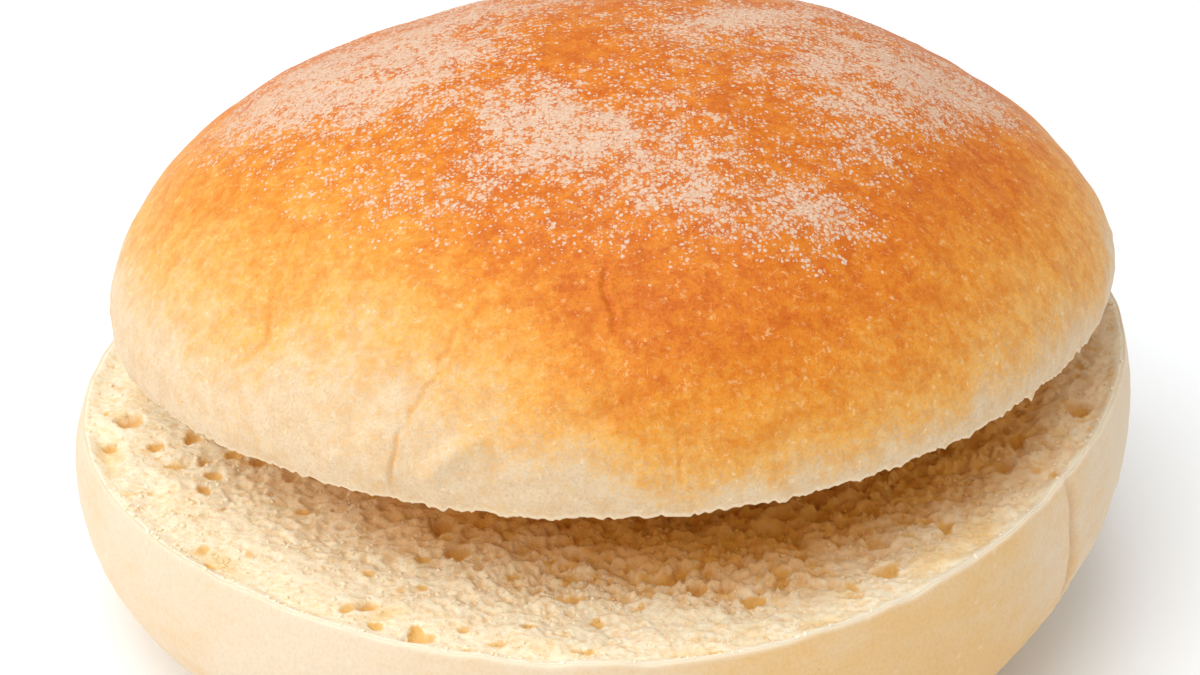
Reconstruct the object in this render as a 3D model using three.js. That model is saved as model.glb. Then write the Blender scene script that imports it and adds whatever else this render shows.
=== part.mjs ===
// A soft white bread roll, cut across and set down with its mouth open: the domed top half rests on the
// torn crumb at the back of the bottom half and gapes towards the front.
// Millimetres, +Z up. The roll stands on its flat base, centred over the origin; the mouth faces -Y.
import * as THREE from "three";

const { degToRad, smoothstep, seededRandom } = THREE.MathUtils;

// Plan outline shared by both halves: the directions in which the roll is longest, and of its soft corners.
const OVAL_DIRECTION = degToRad(36.9);
const CORNER_DIRECTION = degToRad(49.4);
const BACK_ROUNDING = 0.8; // share of the oval and the corners that is gone at the back

const HEEL = {
  radius: 57.3, // at the widest, a little under the cut
  oval: 0.042, // share by which the long way exceeds the round
  corners: 0.044,
  tuck: 0.012, // share by which the crust draws in from the widest to the cut
  cutHeight: 27.3,
  cutSlope: 0.052, // the knife ran uphill to the right
  cutWarp: 0.35,
  shoulder: 5, // from the widest up to the cut
  baseShare: 0.74, // where the flank would meet the table, as a share of the radius
  flankAcross: 2.08, // superellipse exponents of the flank
  flankDown: 2.7,
  footHeight: 0.2, // height of the rounding at the foot, as a share of the widest point's height
};

const CROWN = {
  radius: 54.4,
  oval: 0.033,
  corners: 0.032,
  tuck: 0.015,
  height: 32.2,
  shoulder: 3.2,
  domeAcross: 2.07, // superellipse exponents of the dome
  domeUp: 1.71,
  lean: -2, // the top sits this far to the side of the cut's middle
  cutWarp: 0.6,
  belly: 2.4, // how far the cut crumb bulges out of its crust
  tippedBack: degToRad(7.25),
  raisedRight: degToRad(2.5),
  place: new THREE.Vector3(0.7, 2.6, 34.3), // middle of its cut, over the base's middle
};

// The torn crumb at the back that carries the top half, bounded by an arc about a point behind the middle.
const TEAR = { middle: new THREE.Vector2(0, 38), reach: 44, slope: 19, rimShare: 0.8, gap: 0.4 };
const TEAR_EDGE = { roughness: 3, size: 13 };

// Pores and crags of the crumb.
const CRUMB = {
  pores: 60,
  narrowest: 3,
  widest: 5.6,
  deepest: 2,
  cragHeight: 0.75,
  cragSize: 6.5,
  rimBand: 0.07, // share of the radius over which the relief fades to the rim
};

const CRUST_WAVE = { height: 0.5, size: 19 };
const RIM_CHIP = { height: 0.35, size: 3.4 };
const CREASE_WIDTH = 2;

// Creases where the skin split or folded. They run from one place to another, each given as degrees round
// from +X and the share of the way up.
const CROWN_CREASES = [
  { from: [222, 0.28], to: [218.5, 0.68], depth: 0.5 },
  { from: [244.5, 0.03], to: [254, 0.6], depth: 0.5 },
  { from: [270.5, 0.48], to: [270.5, 0.7], depth: 0.7 },
  { from: [277, 0.06], to: [276.5, 0.28], depth: 0.3 },
  { from: [62, 0.06], to: [70, 0.45], depth: 0.7 },
  { from: [140, 0.04], to: [133, 0.38], depth: 0.6 },
];
const HEEL_CREASES = [
  { from: [333, 0.35], to: [331, 1.0], depth: 0.9 },
  { from: [104, 0.45], to: [109, 1.0], depth: 0.6 },
];

// Rings of the triangle mesh from a face's middle to the rim.
const RINGS = 23;
const TUCK_RINGS = 2; // of those, the rings between the widest point and the cut

// The whole is shifted so that its box is centred over the origin.
const CENTRE_SHIFT = new THREE.Vector3(1.26, 0.51, 0);

// Repeatable noise from -1 to 1 that changes over one unit.
function lattice(i, j, k) {
  const wave = Math.sin(i * 127.1 + j * 311.7 + k * 74.7) * 43758.5453;
  return 2 * (wave - Math.floor(wave)) - 1;
}

function noise(x, y, z) {
  const [i, j, k] = [Math.floor(x), Math.floor(y), Math.floor(z)];
  const [u, v, w] = [smoothstep(x - i, 0, 1), smoothstep(y - j, 0, 1), smoothstep(z - k, 0, 1)];
  let sum = 0;
  for (const [a, shareA] of [[0, 1 - u], [1, u]])
    for (const [b, shareB] of [[0, 1 - v], [1, v]])
      for (const [c, shareC] of [[0, 1 - w], [1, w]])
        sum += shareA * shareB * shareC * lattice(i + a, j + b, k + c);
  return sum;
}

// The plan outline's radius, as a share of the half's own radius.
function outline(half, angle) {
  const shaped = 1 - (BACK_ROUNDING * (1 + Math.sin(angle))) / 2;
  const oval = half.oval * Math.cos(2 * (angle - OVAL_DIRECTION));
  const corners = half.corners * Math.cos(3 * (angle - CORNER_DIRECTION));
  return 1 + shaped * (oval + corners);
}

// Depth of the creases at a place on the crust, each a groove that fades at both ends.
function creaseDepth(creases, angle, up, radius) {
  let depth = 0;
  for (const { from, to, depth: full } of creases) {
    const along = (up - from[1]) / (to[1] - from[1]);
    if (along < 0 || along > 1) continue;
    const middle = degToRad(from[0] + (to[0] - from[0]) * along + 2.5 * Math.sin(along * 9));
    const off = Math.atan2(Math.sin(angle - middle), Math.cos(angle - middle)) * radius;
    depth += full * Math.sin(Math.PI * Math.min(1, along + 0.15)) * Math.exp(-((off / CREASE_WIDTH) ** 2));
  }
  return Math.max(0, depth);
}

// Pores spread evenly over a disc of the given radius, with sizes drawn from a seed.
function makePores(radius, seed) {
  seededRandom(seed);
  return Array.from({ length: CRUMB.pores }, (_, i) => {
    const out = radius * Math.sqrt((i + seededRandom()) / CRUMB.pores);
    const angle = i * Math.PI * (3 - Math.sqrt(5)) + 0.9 * seededRandom();
    const size = CRUMB.narrowest + (CRUMB.widest - CRUMB.narrowest) * seededRandom() ** 2;
    return { x: out * Math.cos(angle), y: out * Math.sin(angle), size };
  });
}

// How far the crumb lies under its smooth face: crags and pores, never above it.
function crumbDepth(pores, x, y, share) {
  const fade = 1 - smoothstep(share, 1 - CRUMB.rimBand, 1);
  const broad = noise(x / CRUMB.cragSize, y / CRUMB.cragSize, 4.5);
  const fine = noise((2.1 * x) / CRUMB.cragSize, (2.1 * y) / CRUMB.cragSize, 7.5);
  let depth = CRUMB.cragHeight * Math.max(0, 1 + 0.7 * broad + 0.5 * fine);
  for (const pore of pores) {
    const off = Math.hypot(x - pore.x, y - pore.y) / (pore.size / 2);
    const poreDepth = CRUMB.deepest * (pore.size / CRUMB.widest);
    if (off < 1) depth = Math.max(depth, CRUMB.cragHeight + poreDepth * (1 - off * off));
  }
  return depth * fade;
}

// Angle of a vertex on a ring of a disc of nested hexagons made round.
function ringAngle(ring, step) {
  return ring ? (2 * Math.PI * step) / (6 * ring) : 0;
}

// Closes two faces that share a rim: `outside` and `inside` each take (share from middle to rim, angle).
function closedHalf(outside, inside) {
  const positions = [];
  const addDisc = (place, rings) => {
    const start = [];
    for (let ring = 0; ring <= rings; ring++) {
      start.push(positions.length / 3);
      for (let step = 0; step < Math.max(1, 6 * ring); step++) {
        const p = place(ring / RINGS, ringAngle(ring, step));
        positions.push(p.x, p.y, p.z);
      }
    }
    return start;
  };
  const outer = addDisc(outside, RINGS);
  const inner = addDisc(inside, RINGS - 1);
  inner.push(outer[RINGS]);

  const faces = [];
  const addFaces = (start, flip) => {
    const face = (a, b, c) => faces.push(...(flip ? [a, c, b] : [a, b, c]));
    for (let ring = 1; ring <= RINGS; ring++)
      for (let sector = 0; sector < 6; sector++)
        for (let i = 0; i < ring; i++) {
          const out = (n) => start[ring] + ((sector * ring + n) % (6 * ring));
          const inward = ring - 1;
          const back = (n) => start[inward] + (inward ? (sector * inward + n) % (6 * inward) : 0);
          face(out(i), out(i + 1), back(i));
          if (i < ring - 1) face(back(i), out(i + 1), back(i + 1));
        }
  };
  addFaces(outer, false);
  addFaces(inner, true);

  const geometry = new THREE.BufferGeometry();
  geometry.setAttribute("position", new THREE.Float32BufferAttribute(positions, 3));
  geometry.setIndex(faces);
  geometry.computeVertexNormals();
  return geometry;
}

// Height of the heel's cut, whose rim dips and rises where the knife wavered.
function heelCut(x, angle, share) {
  return HEEL.cutHeight + HEEL.cutSlope * x - HEEL.cutWarp * Math.sin(3 * angle) * share ** 2;
}

function crownBelly(share) {
  return CROWN.belly * Math.max(0, 1 - share ** 2) ** 2;
}

// Height of the crown's smooth cut face over a place on the table.
const crownUp = new THREE.Vector3(0, 0, 1).applyEuler(
  new THREE.Euler(-CROWN.tippedBack, -CROWN.raisedRight, 0, "YXZ"),
);
function crownFace(x, y) {
  const { x: cx, y: cy, z: cz } = CROWN.place;
  const plane = cz - (crownUp.x * (x - cx) + crownUp.y * (y - cy)) / crownUp.z;
  return plane - crownBelly(Math.hypot(x - cx, y - cy) / CROWN.radius);
}

// How far the crust swells or dips in slow waves.
function crustWave(x, y, z) {
  return CRUST_WAVE.height * noise(x / CRUST_WAVE.size, y / CRUST_WAVE.size, z / CRUST_WAVE.size);
}

function rimChip(x, y) {
  return RIM_CHIP.height * noise(x / RIM_CHIP.size, y / RIM_CHIP.size, 9.5);
}

// How far the crumb at a place was torn rather than cut: 1 where it reaches up to the crown.
function tornShare(x, y, share) {
  const rough = TEAR_EDGE.roughness * noise(x / TEAR_EDGE.size, y / TEAR_EDGE.size, 2.5);
  const off = Math.hypot(x - TEAR.middle.x, y - TEAR.middle.y) + rough;
  const raised = 1 - smoothstep(off, TEAR.reach, TEAR.reach + TEAR.slope);
  return raised * (1 - smoothstep(share, TEAR.rimShare, 1));
}

// The dome from its top (share 0) to its cut rim (share 1), in the crown's own frame.
function crownOutside(share, angle) {
  const widest = 1 - TUCK_RINGS / RINGS;
  const over = Math.min(1, share / widest);
  const under = Math.max(0, (share - widest) / (1 - widest));
  const lift = Math.max(0, Math.cos((over * Math.PI) / 2)) ** (2 / CROWN.domeUp);
  const reach = Math.sin((over * Math.PI) / 2) ** (2 / CROWN.domeAcross);
  const height = CROWN.shoulder * (1 - under) + (CROWN.height - CROWN.shoulder) * lift;
  const radius = CROWN.radius * outline(CROWN, angle) * reach * (1 - CROWN.tuck * under ** 2);
  const up = height / CROWN.height;
  const x = radius * Math.cos(angle);
  const y = radius * Math.sin(angle);
  const wave = crustWave(x, y, height);
  const relief = (wave - creaseDepth(CROWN_CREASES, angle, up, radius)) * (1 - under);
  const facing = new THREE.Vector2(reach / CROWN.radius, up / CROWN.height).normalize();
  const warp = -CROWN.cutWarp * Math.sin(3 * angle) * under + rimChip(x, y) * under;
  return new THREE.Vector3(
    x + relief * facing.x * Math.cos(angle) + CROWN.lean * up ** 1.5,
    y + relief * facing.x * Math.sin(angle),
    height + relief * facing.y + warp,
  );
}

// The crown's cut crumb, looking down.
function crownInside(pores) {
  return (share, angle) => {
    const radius = CROWN.radius * outline(CROWN, angle) * (1 - CROWN.tuck) * share;
    const x = radius * Math.cos(angle);
    const y = radius * Math.sin(angle);
    const warp = -CROWN.cutWarp * Math.sin(3 * angle) * share ** 8;
    const smooth = warp - crownBelly(radius / CROWN.radius);
    return new THREE.Vector3(x, y, smooth + crumbDepth(pores, x, y, share));
  };
}

// Share of the heel's radius at a share of the height from the table to the widest point.
function heelFlank(up) {
  const depth = (1 - HEEL.baseShare ** HEEL.flankAcross) ** (1 / HEEL.flankDown);
  return (1 - ((1 - up) * depth) ** HEEL.flankDown) ** (1 / HEEL.flankAcross);
}

// The heel's base and flank from the middle of the base (share 0) to the cut rim (share 1).
function heelOutside(share, angle) {
  const widest = 1 - TUCK_RINGS / RINGS;
  const foot = 0.56;
  const outlineRadius = HEEL.radius * outline(HEEL, angle);
  const rim = heelCut(outlineRadius * Math.cos(angle), angle, 1);
  const widestHeight = rim - HEEL.shoulder;
  const under = Math.max(0, (share - widest) / (1 - widest));
  let reach;
  let up;
  if (share < foot) {
    // The base is flat, then rounds up into the flank on a quadratic curve.
    const slope = (heelFlank(HEEL.footHeight + 0.01) - heelFlank(HEEL.footHeight)) / 0.01;
    const flankFoot = heelFlank(HEEL.footHeight);
    const turn = flankFoot - slope * HEEL.footHeight;
    const flat = 2 * turn - flankFoot;
    const t = Math.max(0, share / foot - 0.8) / 0.2;
    reach = flat * (1 - t) ** 2 + turn * 2 * t * (1 - t) + flankFoot * t ** 2;
    if (t === 0) reach = (flat * share) / (0.8 * foot);
    up = HEEL.footHeight * t ** 2;
  } else {
    const t = Math.min(1, (share - foot) / (widest - foot));
    up = HEEL.footHeight + (1 - HEEL.footHeight) * t;
    reach = heelFlank(up);
  }
  const radius = outlineRadius * reach * (1 - HEEL.tuck * under ** 2);
  const height = widestHeight * up + HEEL.shoulder * under;
  const x = radius * Math.cos(angle);
  const y = radius * Math.sin(angle);
  const wave = crustWave(x, y, height);
  const crease = creaseDepth(HEEL_CREASES, angle, height / rim, radius);
  const relief = (wave * (1 - under) - crease) * smoothstep(up, 0.15, 0.5);
  return new THREE.Vector3(x + relief * Math.cos(angle), y + relief * Math.sin(angle), height);
}

// The heel's cut crumb, looking up, with the torn crumb that carries the crown.
function heelInside(pores) {
  return (share, angle) => {
    const radius = HEEL.radius * outline(HEEL, angle) * (1 - HEEL.tuck) * share;
    const x = radius * Math.cos(angle);
    const y = radius * Math.sin(angle);
    const flat = heelCut(x, angle, share) + rimChip(x, y) * smoothstep(share, 1 - CRUMB.rimBand, 1);
    const carried = crownFace(x, y) - TEAR.gap;
    const torn = tornShare(x, y, share);
    const smooth = Math.min(flat + torn * (carried - flat), carried);
    return new THREE.Vector3(x, y, smooth - crumbDepth(pores, x, y, share) * (1 - 0.6 * torn));
  };
}

const crust = new THREE.MeshStandardMaterial({ color: 0xe2924a, roughness: 0.62, metalness: 0 });
const paleCrust = new THREE.MeshStandardMaterial({ color: 0xf0d6ae, roughness: 0.72, metalness: 0 });

const crown = new THREE.Mesh(closedHalf(crownOutside, crownInside(makePores(CROWN.radius, 11))), crust);
crown.name = "crown";
crown.rotation.set(-CROWN.tippedBack, -CROWN.raisedRight, 0, "YXZ");
crown.position.copy(CROWN.place);

// Its crumb is the upper face, so that comes first.
const heel = new THREE.Mesh(closedHalf(heelInside(makePores(HEEL.radius, 29)), heelOutside), paleCrust);
heel.name = "heel";

const roll = new THREE.Group();
roll.add(heel, crown);
roll.position.copy(CENTRE_SHIFT);

export default roll;
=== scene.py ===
"""A soft white bread roll, cut across and left open, with its floury top tipped back on the bottom half.

Sizes are in millimetres and angles in degrees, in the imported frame: +Z up, the mouth towards -Y. The sizes of
the two halves repeat those of the CAD solids, which the dressed halves replace in place.
"""

from __future__ import annotations

import logging
from collections.abc import Callable, Sequence
from dataclasses import dataclass, field
from enum import Enum
from math import cos, pi, radians, sin, sqrt

import bpy
import numpy as np
from mathutils import Euler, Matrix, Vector


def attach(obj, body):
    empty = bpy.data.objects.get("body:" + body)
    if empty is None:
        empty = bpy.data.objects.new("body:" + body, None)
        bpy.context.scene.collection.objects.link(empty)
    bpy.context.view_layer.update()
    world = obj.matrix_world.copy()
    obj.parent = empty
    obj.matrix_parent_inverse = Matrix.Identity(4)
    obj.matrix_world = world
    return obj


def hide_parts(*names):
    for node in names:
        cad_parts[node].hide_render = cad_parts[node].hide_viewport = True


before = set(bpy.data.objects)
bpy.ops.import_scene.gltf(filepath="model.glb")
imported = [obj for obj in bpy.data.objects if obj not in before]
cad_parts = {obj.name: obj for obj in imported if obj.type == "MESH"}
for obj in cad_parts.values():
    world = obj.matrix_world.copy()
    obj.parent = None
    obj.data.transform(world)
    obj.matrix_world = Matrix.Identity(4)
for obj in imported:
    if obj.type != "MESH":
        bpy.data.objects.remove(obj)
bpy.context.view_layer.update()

MM = 0.001
BAKE_MAP = "OFBake"

log = logging.getLogger("roll")

Array = np.ndarray
Marks = dict[str, Array]
Colour = tuple[float, float, float, float]


class Slot(Enum):
    """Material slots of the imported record."""

    GOLDEN = "golden_crust"
    PALE = "pale_crust"
    CRUMB = "crumb"
    FLOUR = "flour"


class Half(Enum):
    """The two halves of the roll, by the name of the solid that each replaces."""

    CROWN = "crown"
    HEEL = "heel"


# Numbers and noise


def srgb(red: int, green: int, blue: int) -> Colour:
    """Turns a colour from 0 to 255 into the linear colour that a shader takes.

    Args:
        red: Red part.
        green: Green part.
        blue: Blue part.

    Returns:
        The linear colour with an alpha of 1.
    """
    shares = (channel / 255 for channel in (red, green, blue))
    linear = [s / 12.92 if s <= 0.04045 else ((s + 0.055) / 1.055) ** 2.4 for s in shares]
    return linear[0], linear[1], linear[2], 1.0


def smoothstep(value: Array | float, low: float, high: float) -> Array:
    """Eases from 0 at low to 1 at high.

    Args:
        value: Numbers to ease.
        low: Where the result is still 0.
        high: Where the result reaches 1.

    Returns:
        Numbers from 0 to 1.
    """
    t = np.clip((value - low) / (high - low), 0, 1)
    return t * t * (3 - 2 * t)


def lattice(i: Array, j: Array, k: Array) -> Array:
    """Gives a repeatable number from -1 to 1 for each lattice point."""
    wave = np.sin(i * 127.1 + j * 311.7 + k * 74.7) * 43758.5453
    return 2 * (wave - np.floor(wave)) - 1


def noise(x: Array, y: Array, z: Array | float) -> Array:
    """Smooth noise from -1 to 1 that changes over one unit, the same as that of the solids.

    Args:
        x: First coordinate, in units of the noise's size.
        y: Second coordinate.
        z: Third coordinate, or one number that picks a layer.

    Returns:
        One number for each place.
    """
    x, y, z = np.broadcast_arrays(x, y, z)
    cell = np.floor(np.stack([x, y, z]))
    u, v, w = smoothstep(np.stack([x, y, z]) - cell, 0, 1)
    total = np.zeros(x.shape)
    for a, share_a in ((0, 1 - u), (1, u)):
        for b, share_b in ((0, 1 - v), (1, v)):
            for c, share_c in ((0, 1 - w), (1, w)):
                total += share_a * share_b * share_c * lattice(cell[0] + a, cell[1] + b, cell[2] + c)
    return total


def rough_noise(x: Array, y: Array, z: Array | float, octaves: int) -> Array:
    """Adds finer and weaker layers of noise.

    Args:
        x: First coordinate, in units of the broadest layer.
        y: Second coordinate.
        z: Third coordinate, or one number that picks a layer.
        octaves: How many layers.

    Returns:
        Noise of about -1 to 1.
    """
    total = np.zeros(np.broadcast(x, y, z).shape)
    for octave in range(octaves):
        fine = 2.03**octave
        total += noise(x * fine + 17 * octave, y * fine, z * fine) / fine**0.85
    return total


class SeededDraw:
    """The same repeatable random numbers as those of the solids (the Mulberry32 rule)."""

    def __init__(self, seed: int) -> None:
        """Starts the sequence; the first number is drawn and dropped."""
        self.state = seed
        self.draw()

    def draw(self) -> float:
        """Returns the next number from 0 to 1."""
        mask = 0xFFFFFFFF
        self.state = (self.state + 0x6D2B79F5) & mask
        t = self.state
        t = ((t ^ (t >> 15)) * (t | 1)) & mask
        t ^= (t + (((t ^ (t >> 7)) * (t | 61)) & mask)) & mask
        return ((t ^ (t >> 14)) & mask) / 4294967296


# Meshes


class Chart(Enum):
    """Round charts of the bake's map: middle, then the radius at its edge."""

    MAIN = (0.46, 0.45)
    CAP = (0.88, 0.11)

    def lay_out(self, share: Array, angle: Array) -> Array:
        """Returns the map places for shares from the chart's middle to its edge."""
        middle, radius = self.value
        return middle + radius * np.stack([share * np.cos(angle), share * np.sin(angle)], 1)


@dataclass(frozen=True)
class Disc:
    """A disc of nested hexagons made round: ring k has 6k vertices.

    Attributes:
        rings: Rings from the middle to the rim.
        spread: Power that spaces the rings; under 1 crowds them towards the rim.
        front: Share by which the vertices crowd towards the front.
    """

    rings: int
    spread: float = 1.0
    front: float = 0.0

    def angles(self, ring: int) -> Array:
        """Returns the angle of every vertex on a ring."""
        turn = 2 * pi * np.arange(6 * ring) / (6 * ring)
        return turn - self.front * np.cos(turn)

    def places(self) -> tuple[Array, Array]:
        """Returns the share from middle to rim and the angle of every vertex, middle first."""
        shares = [np.zeros(1)]
        angles = [np.zeros(1)]
        for ring in range(1, self.rings + 1):
            shares.append(np.full(6 * ring, (ring / self.rings) ** self.spread))
            angles.append(self.angles(ring))
        return np.concatenate(shares), np.concatenate(angles)

    def start(self, ring: int) -> int:
        """Returns the index of the first vertex on a ring."""
        return 1 + 3 * ring * (ring - 1) if ring else 0

    def faces(self) -> Array:
        """Returns the triangles, anticlockwise seen from above."""
        found = []
        for ring in range(1, self.rings + 1):
            step = np.arange(6 * ring)
            sector, i = step // ring, step % ring
            inner = ring - 1
            out = self.start(ring) + step
            out_next = self.start(ring) + (step + 1) % (6 * ring)
            count = max(1, 6 * inner)
            back = self.start(inner) + (sector * inner + i) % count
            back_next = self.start(inner) + (sector * inner + i + 1) % count
            found.append(np.stack([out, out_next, back], 1))
            inside = i < inner
            found.append(np.stack([back, out_next, back_next], 1)[inside])
        return np.concatenate(found)


class Skin:
    """Collects the vertices, map places and triangles of one closed piece, in millimetres."""

    def __init__(self) -> None:
        """Starts with no vertices."""
        self.points: list[Array] = []
        self.charts: list[Array] = []
        self.triangles: list[Array] = []
        self.corners: list[Array | None] = []
        self.marks: dict[str, list[tuple[int, Array]]] = {}
        self.count = 0

    def add_points(self, points: Array, chart: Array, marks: Marks | None = None) -> int:
        """Adds vertices.

        Args:
            points: Where they are.
            chart: Their places in the bake's map.
            marks: Numbers from 0 to 1 to keep with them, by name. Other vertices get 0.

        Returns:
            The index of the first.
        """
        first = self.count
        self.points.append(points)
        self.charts.append(chart)
        self.count += len(points)
        for name, values in (marks or {}).items():
            self.marks.setdefault(name, []).append((first, values))
        return first

    def add_faces(self, faces: Array, flip: bool = False, corners: Array | None = None) -> None:
        """Adds triangles.

        Args:
            faces: Vertex indices, three a row.
            flip: Turns the triangles round.
            corners: Map places of the triangles' corners, where they aren't those of the vertices.
        """
        self.triangles.append(faces[:, ::-1] if flip else faces)
        self.corners.append(corners[:, ::-1] if flip and corners is not None else corners)

    def add_disc(
        self, disc: Disc, points: Array, chart: Array, flip: bool, marks: Marks | None = None
    ) -> int:
        """Adds a disc and returns the index of the first vertex on its rim."""
        first = self.add_points(points, chart, marks)
        self.add_faces(disc.faces() + first, flip)
        return first + disc.start(disc.rings)

    def add_cap(self, disc: Disc, points: Array, rim_chart: Array, flip: bool) -> int:
        """Adds a hidden disc on a small chart of its own.

        Args:
            disc: The disc.
            points: Where its vertices are.
            rim_chart: Map places of its rim on the main chart.
            flip: Turns the faces round.

        Returns:
            The index of the first vertex on its rim.
        """
        shares, angles = disc.places()
        small = Chart.CAP.lay_out(shares, angles)
        chart = small.copy()
        chart[disc.start(disc.rings) :] = rim_chart
        first = self.add_points(points, chart)
        faces = disc.faces()
        self.add_faces(faces + first, flip, small[faces])
        return first + disc.start(disc.rings)

    def add_loop(self, loop: Array, chart: Array, start: int, flip: bool, marks: Marks | None = None) -> int:
        """Adds a ring of vertices joined to the one before.

        Args:
            loop: Vertices of the ring.
            chart: Their map places.
            start: First vertex of the ring that it goes on from.
            flip: Turns the faces round.
            marks: Numbers to keep with the vertices, by name.

        Returns:
            The index of the first vertex.
        """
        first = self.add_points(loop, chart, marks)
        self.band(start, first, len(loop), flip)
        return first

    def band(self, upper: int, lower: int, count: int, flip: bool) -> None:
        """Joins two rings of the same number of vertices.

        Args:
            upper: First vertex of one ring.
            lower: First vertex of the other.
            count: Vertices on each ring.
            flip: Turns the faces round.
        """
        step = np.arange(count)
        after = (step + 1) % count
        self.add_faces(np.stack([upper + step, lower + step, lower + after], 1), flip)
        self.add_faces(np.stack([upper + step, lower + after, upper + after], 1), flip)

    def thin_out(self, fine: int, coarse: int, coarse_count: int, ratio: int, flip: bool) -> None:
        """Joins a ring to one with fewer vertices.

        Args:
            fine: First vertex of the ring with more.
            coarse: First vertex of the ring with fewer.
            coarse_count: Vertices on the ring with fewer.
            ratio: Fine vertices for each coarse one.
            flip: Turns the faces round.
        """
        step = np.arange(coarse_count)
        total = coarse_count * ratio
        for part in range(ratio):
            here = fine + step * ratio + part
            after = fine + (step * ratio + part + 1) % total
            self.add_faces(np.stack([here, coarse + step, after], 1), flip)
        last = fine + (step * ratio + ratio) % total
        following = coarse + (step + 1) % coarse_count
        self.add_faces(np.stack([coarse + step, following, last], 1), flip)

    def close(self, ring: int, cap: Disc, points: Array, ratio: int, flip: bool) -> None:
        """Closes the hidden side behind a ring with a coarser disc.

        Args:
            ring: First vertex of the ring.
            cap: The disc.
            points: Where the disc's vertices are.
            ratio: Vertices of the ring for each one on the disc's rim.
            flip: Turns the faces that join the two round; the disc's own face the other way.
        """
        rim_chart = Chart.MAIN.lay_out(np.full(6 * cap.rings, 1.0), cap.angles(cap.rings))
        coarse = self.add_cap(cap, points, rim_chart, not flip)
        self.thin_out(ring, coarse, 6 * cap.rings, ratio, flip)

    def to_mesh(self, name: str) -> bpy.types.Mesh:
        """Makes a smooth shaded Blender mesh in metres, with its bake map.

        Args:
            name: The mesh's name.

        Returns:
            The mesh.
        """
        points = np.concatenate(self.points) * MM
        faces = np.concatenate(self.triangles)
        charts = np.concatenate(self.charts)
        pairs = zip(self.triangles, self.corners)
        places = np.concatenate([charts[f] if c is None else c for f, c in pairs])
        mesh = bpy.data.meshes.new(name)
        mesh.vertices.add(len(points))
        mesh.vertices.foreach_set("co", points.astype(np.float32).ravel())
        mesh.loops.add(faces.size)
        mesh.loops.foreach_set("vertex_index", faces.astype(np.int32).ravel())
        mesh.polygons.add(len(faces))
        mesh.polygons.foreach_set("loop_start", np.arange(0, faces.size, 3, dtype=np.int32))
        mesh.polygons.foreach_set("use_smooth", np.ones(len(faces), bool))
        mesh.update(calc_edges=True)
        layer = mesh.uv_layers.new(name=BAKE_MAP)
        layer.data.foreach_set("uv", places.astype(np.float32).ravel())
        for name, parts in self.marks.items():
            values = np.zeros(len(points), np.float32)
            for first, some in parts:
                values[first : first + len(some)] = some
            mesh.attributes.new(name, "FLOAT", "POINT").data.foreach_set("value", values)
        return mesh


def add_object(name: str, mesh: bpy.types.Mesh) -> bpy.types.Object:
    """Links a new object that shows a mesh."""
    piece = bpy.data.objects.new(name, mesh)
    bpy.context.scene.collection.objects.link(piece)
    return piece


# Forms that both halves share


@dataclass(frozen=True)
class Outline:
    """Plan outline of a half: a circle with an oval and three soft corners, rounder at the back.

    Attributes:
        radius: Mean radius.
        oval: Share by which the long way exceeds the round.
        corners: Share by which the corners stand out.
        oval_direction: Where the roll is longest.
        corner_direction: Where the first soft corner is.
        back_rounding: Share of the oval and the corners that is gone at the back.
    """

    radius: float
    oval: float
    corners: float
    oval_direction: float = 36.9
    corner_direction: float = 49.4
    back_rounding: float = 0.8

    def reach(self, angle: Array) -> Array:
        """Returns the radius at each angle."""
        shaped = 1 - self.back_rounding * (1 + np.sin(angle)) / 2
        oval = self.oval * np.cos(2 * (angle - radians(self.oval_direction)))
        corners = self.corners * np.cos(3 * (angle - radians(self.corner_direction)))
        return self.radius * (1 + shaped * (oval + corners))


@dataclass(frozen=True)
class Crease:
    """A line where the skin split or folded.

    Attributes:
        path: Places along it, each as degrees round from +X and the share of the way up.
        depth: Depth of the groove.
        width: Half width of the groove.
        lip: Height of the raised skin beside it.
        wander: How far the line strays from its path.
    """

    path: tuple[tuple[float, float], ...]
    depth: float
    width: float
    lip: float = 0.0
    wander: float = 0.5

    def relief(self, points: Array, surface: Callable[[Array, Array], Array]) -> tuple[Array, Array]:
        """Works out the groove's relief at places on the crust.

        Args:
            points: Places on the smooth crust.
            surface: Gives the smooth crust's point for an angle and a share of the way up.

        Returns:
            The height to add, and how strongly each place is marked by the groove, from 0 to 1.
        """
        knots = np.array(self.path)
        along = np.linspace(0, 1, 90)
        knot_along = np.linspace(0, 1, len(knots))
        angle = np.radians(np.interp(along, knot_along, knots[:, 0]))
        line = surface(angle, np.interp(along, knot_along, knots[:, 1]))
        stray = self.wander * rough_noise(line[:, 0] / 3.1, line[:, 1] / 3.1, line[:, 2] / 3.1, 2)
        line = line + stray[:, None] * np.stack([-np.sin(angle), np.cos(angle), 0 * angle], 1)
        height = np.zeros(len(points))
        mark = np.zeros(len(points))
        near = np.nonzero(np.linalg.norm(points - line.mean(0), axis=1) < 34)[0]
        for some in np.array_split(near, max(1, len(near) // 6000)):
            away = np.linalg.norm(points[some, None] - line[None], axis=2)
            nearest = away.argmin(1)
            distance = away[np.arange(len(some)), nearest]
            fade = smoothstep(along[nearest], -0.05, 0.2) * smoothstep(1 - along[nearest], -0.05, 0.2)
            groove = np.exp(-((distance / self.width) ** 2)) * fade
            lip = np.exp(-(((distance - 2.1 * self.width) / self.width) ** 2)) * fade
            height[some] = self.lip * lip - self.depth * groove
            mark[some] = groove
        return height, mark


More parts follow.
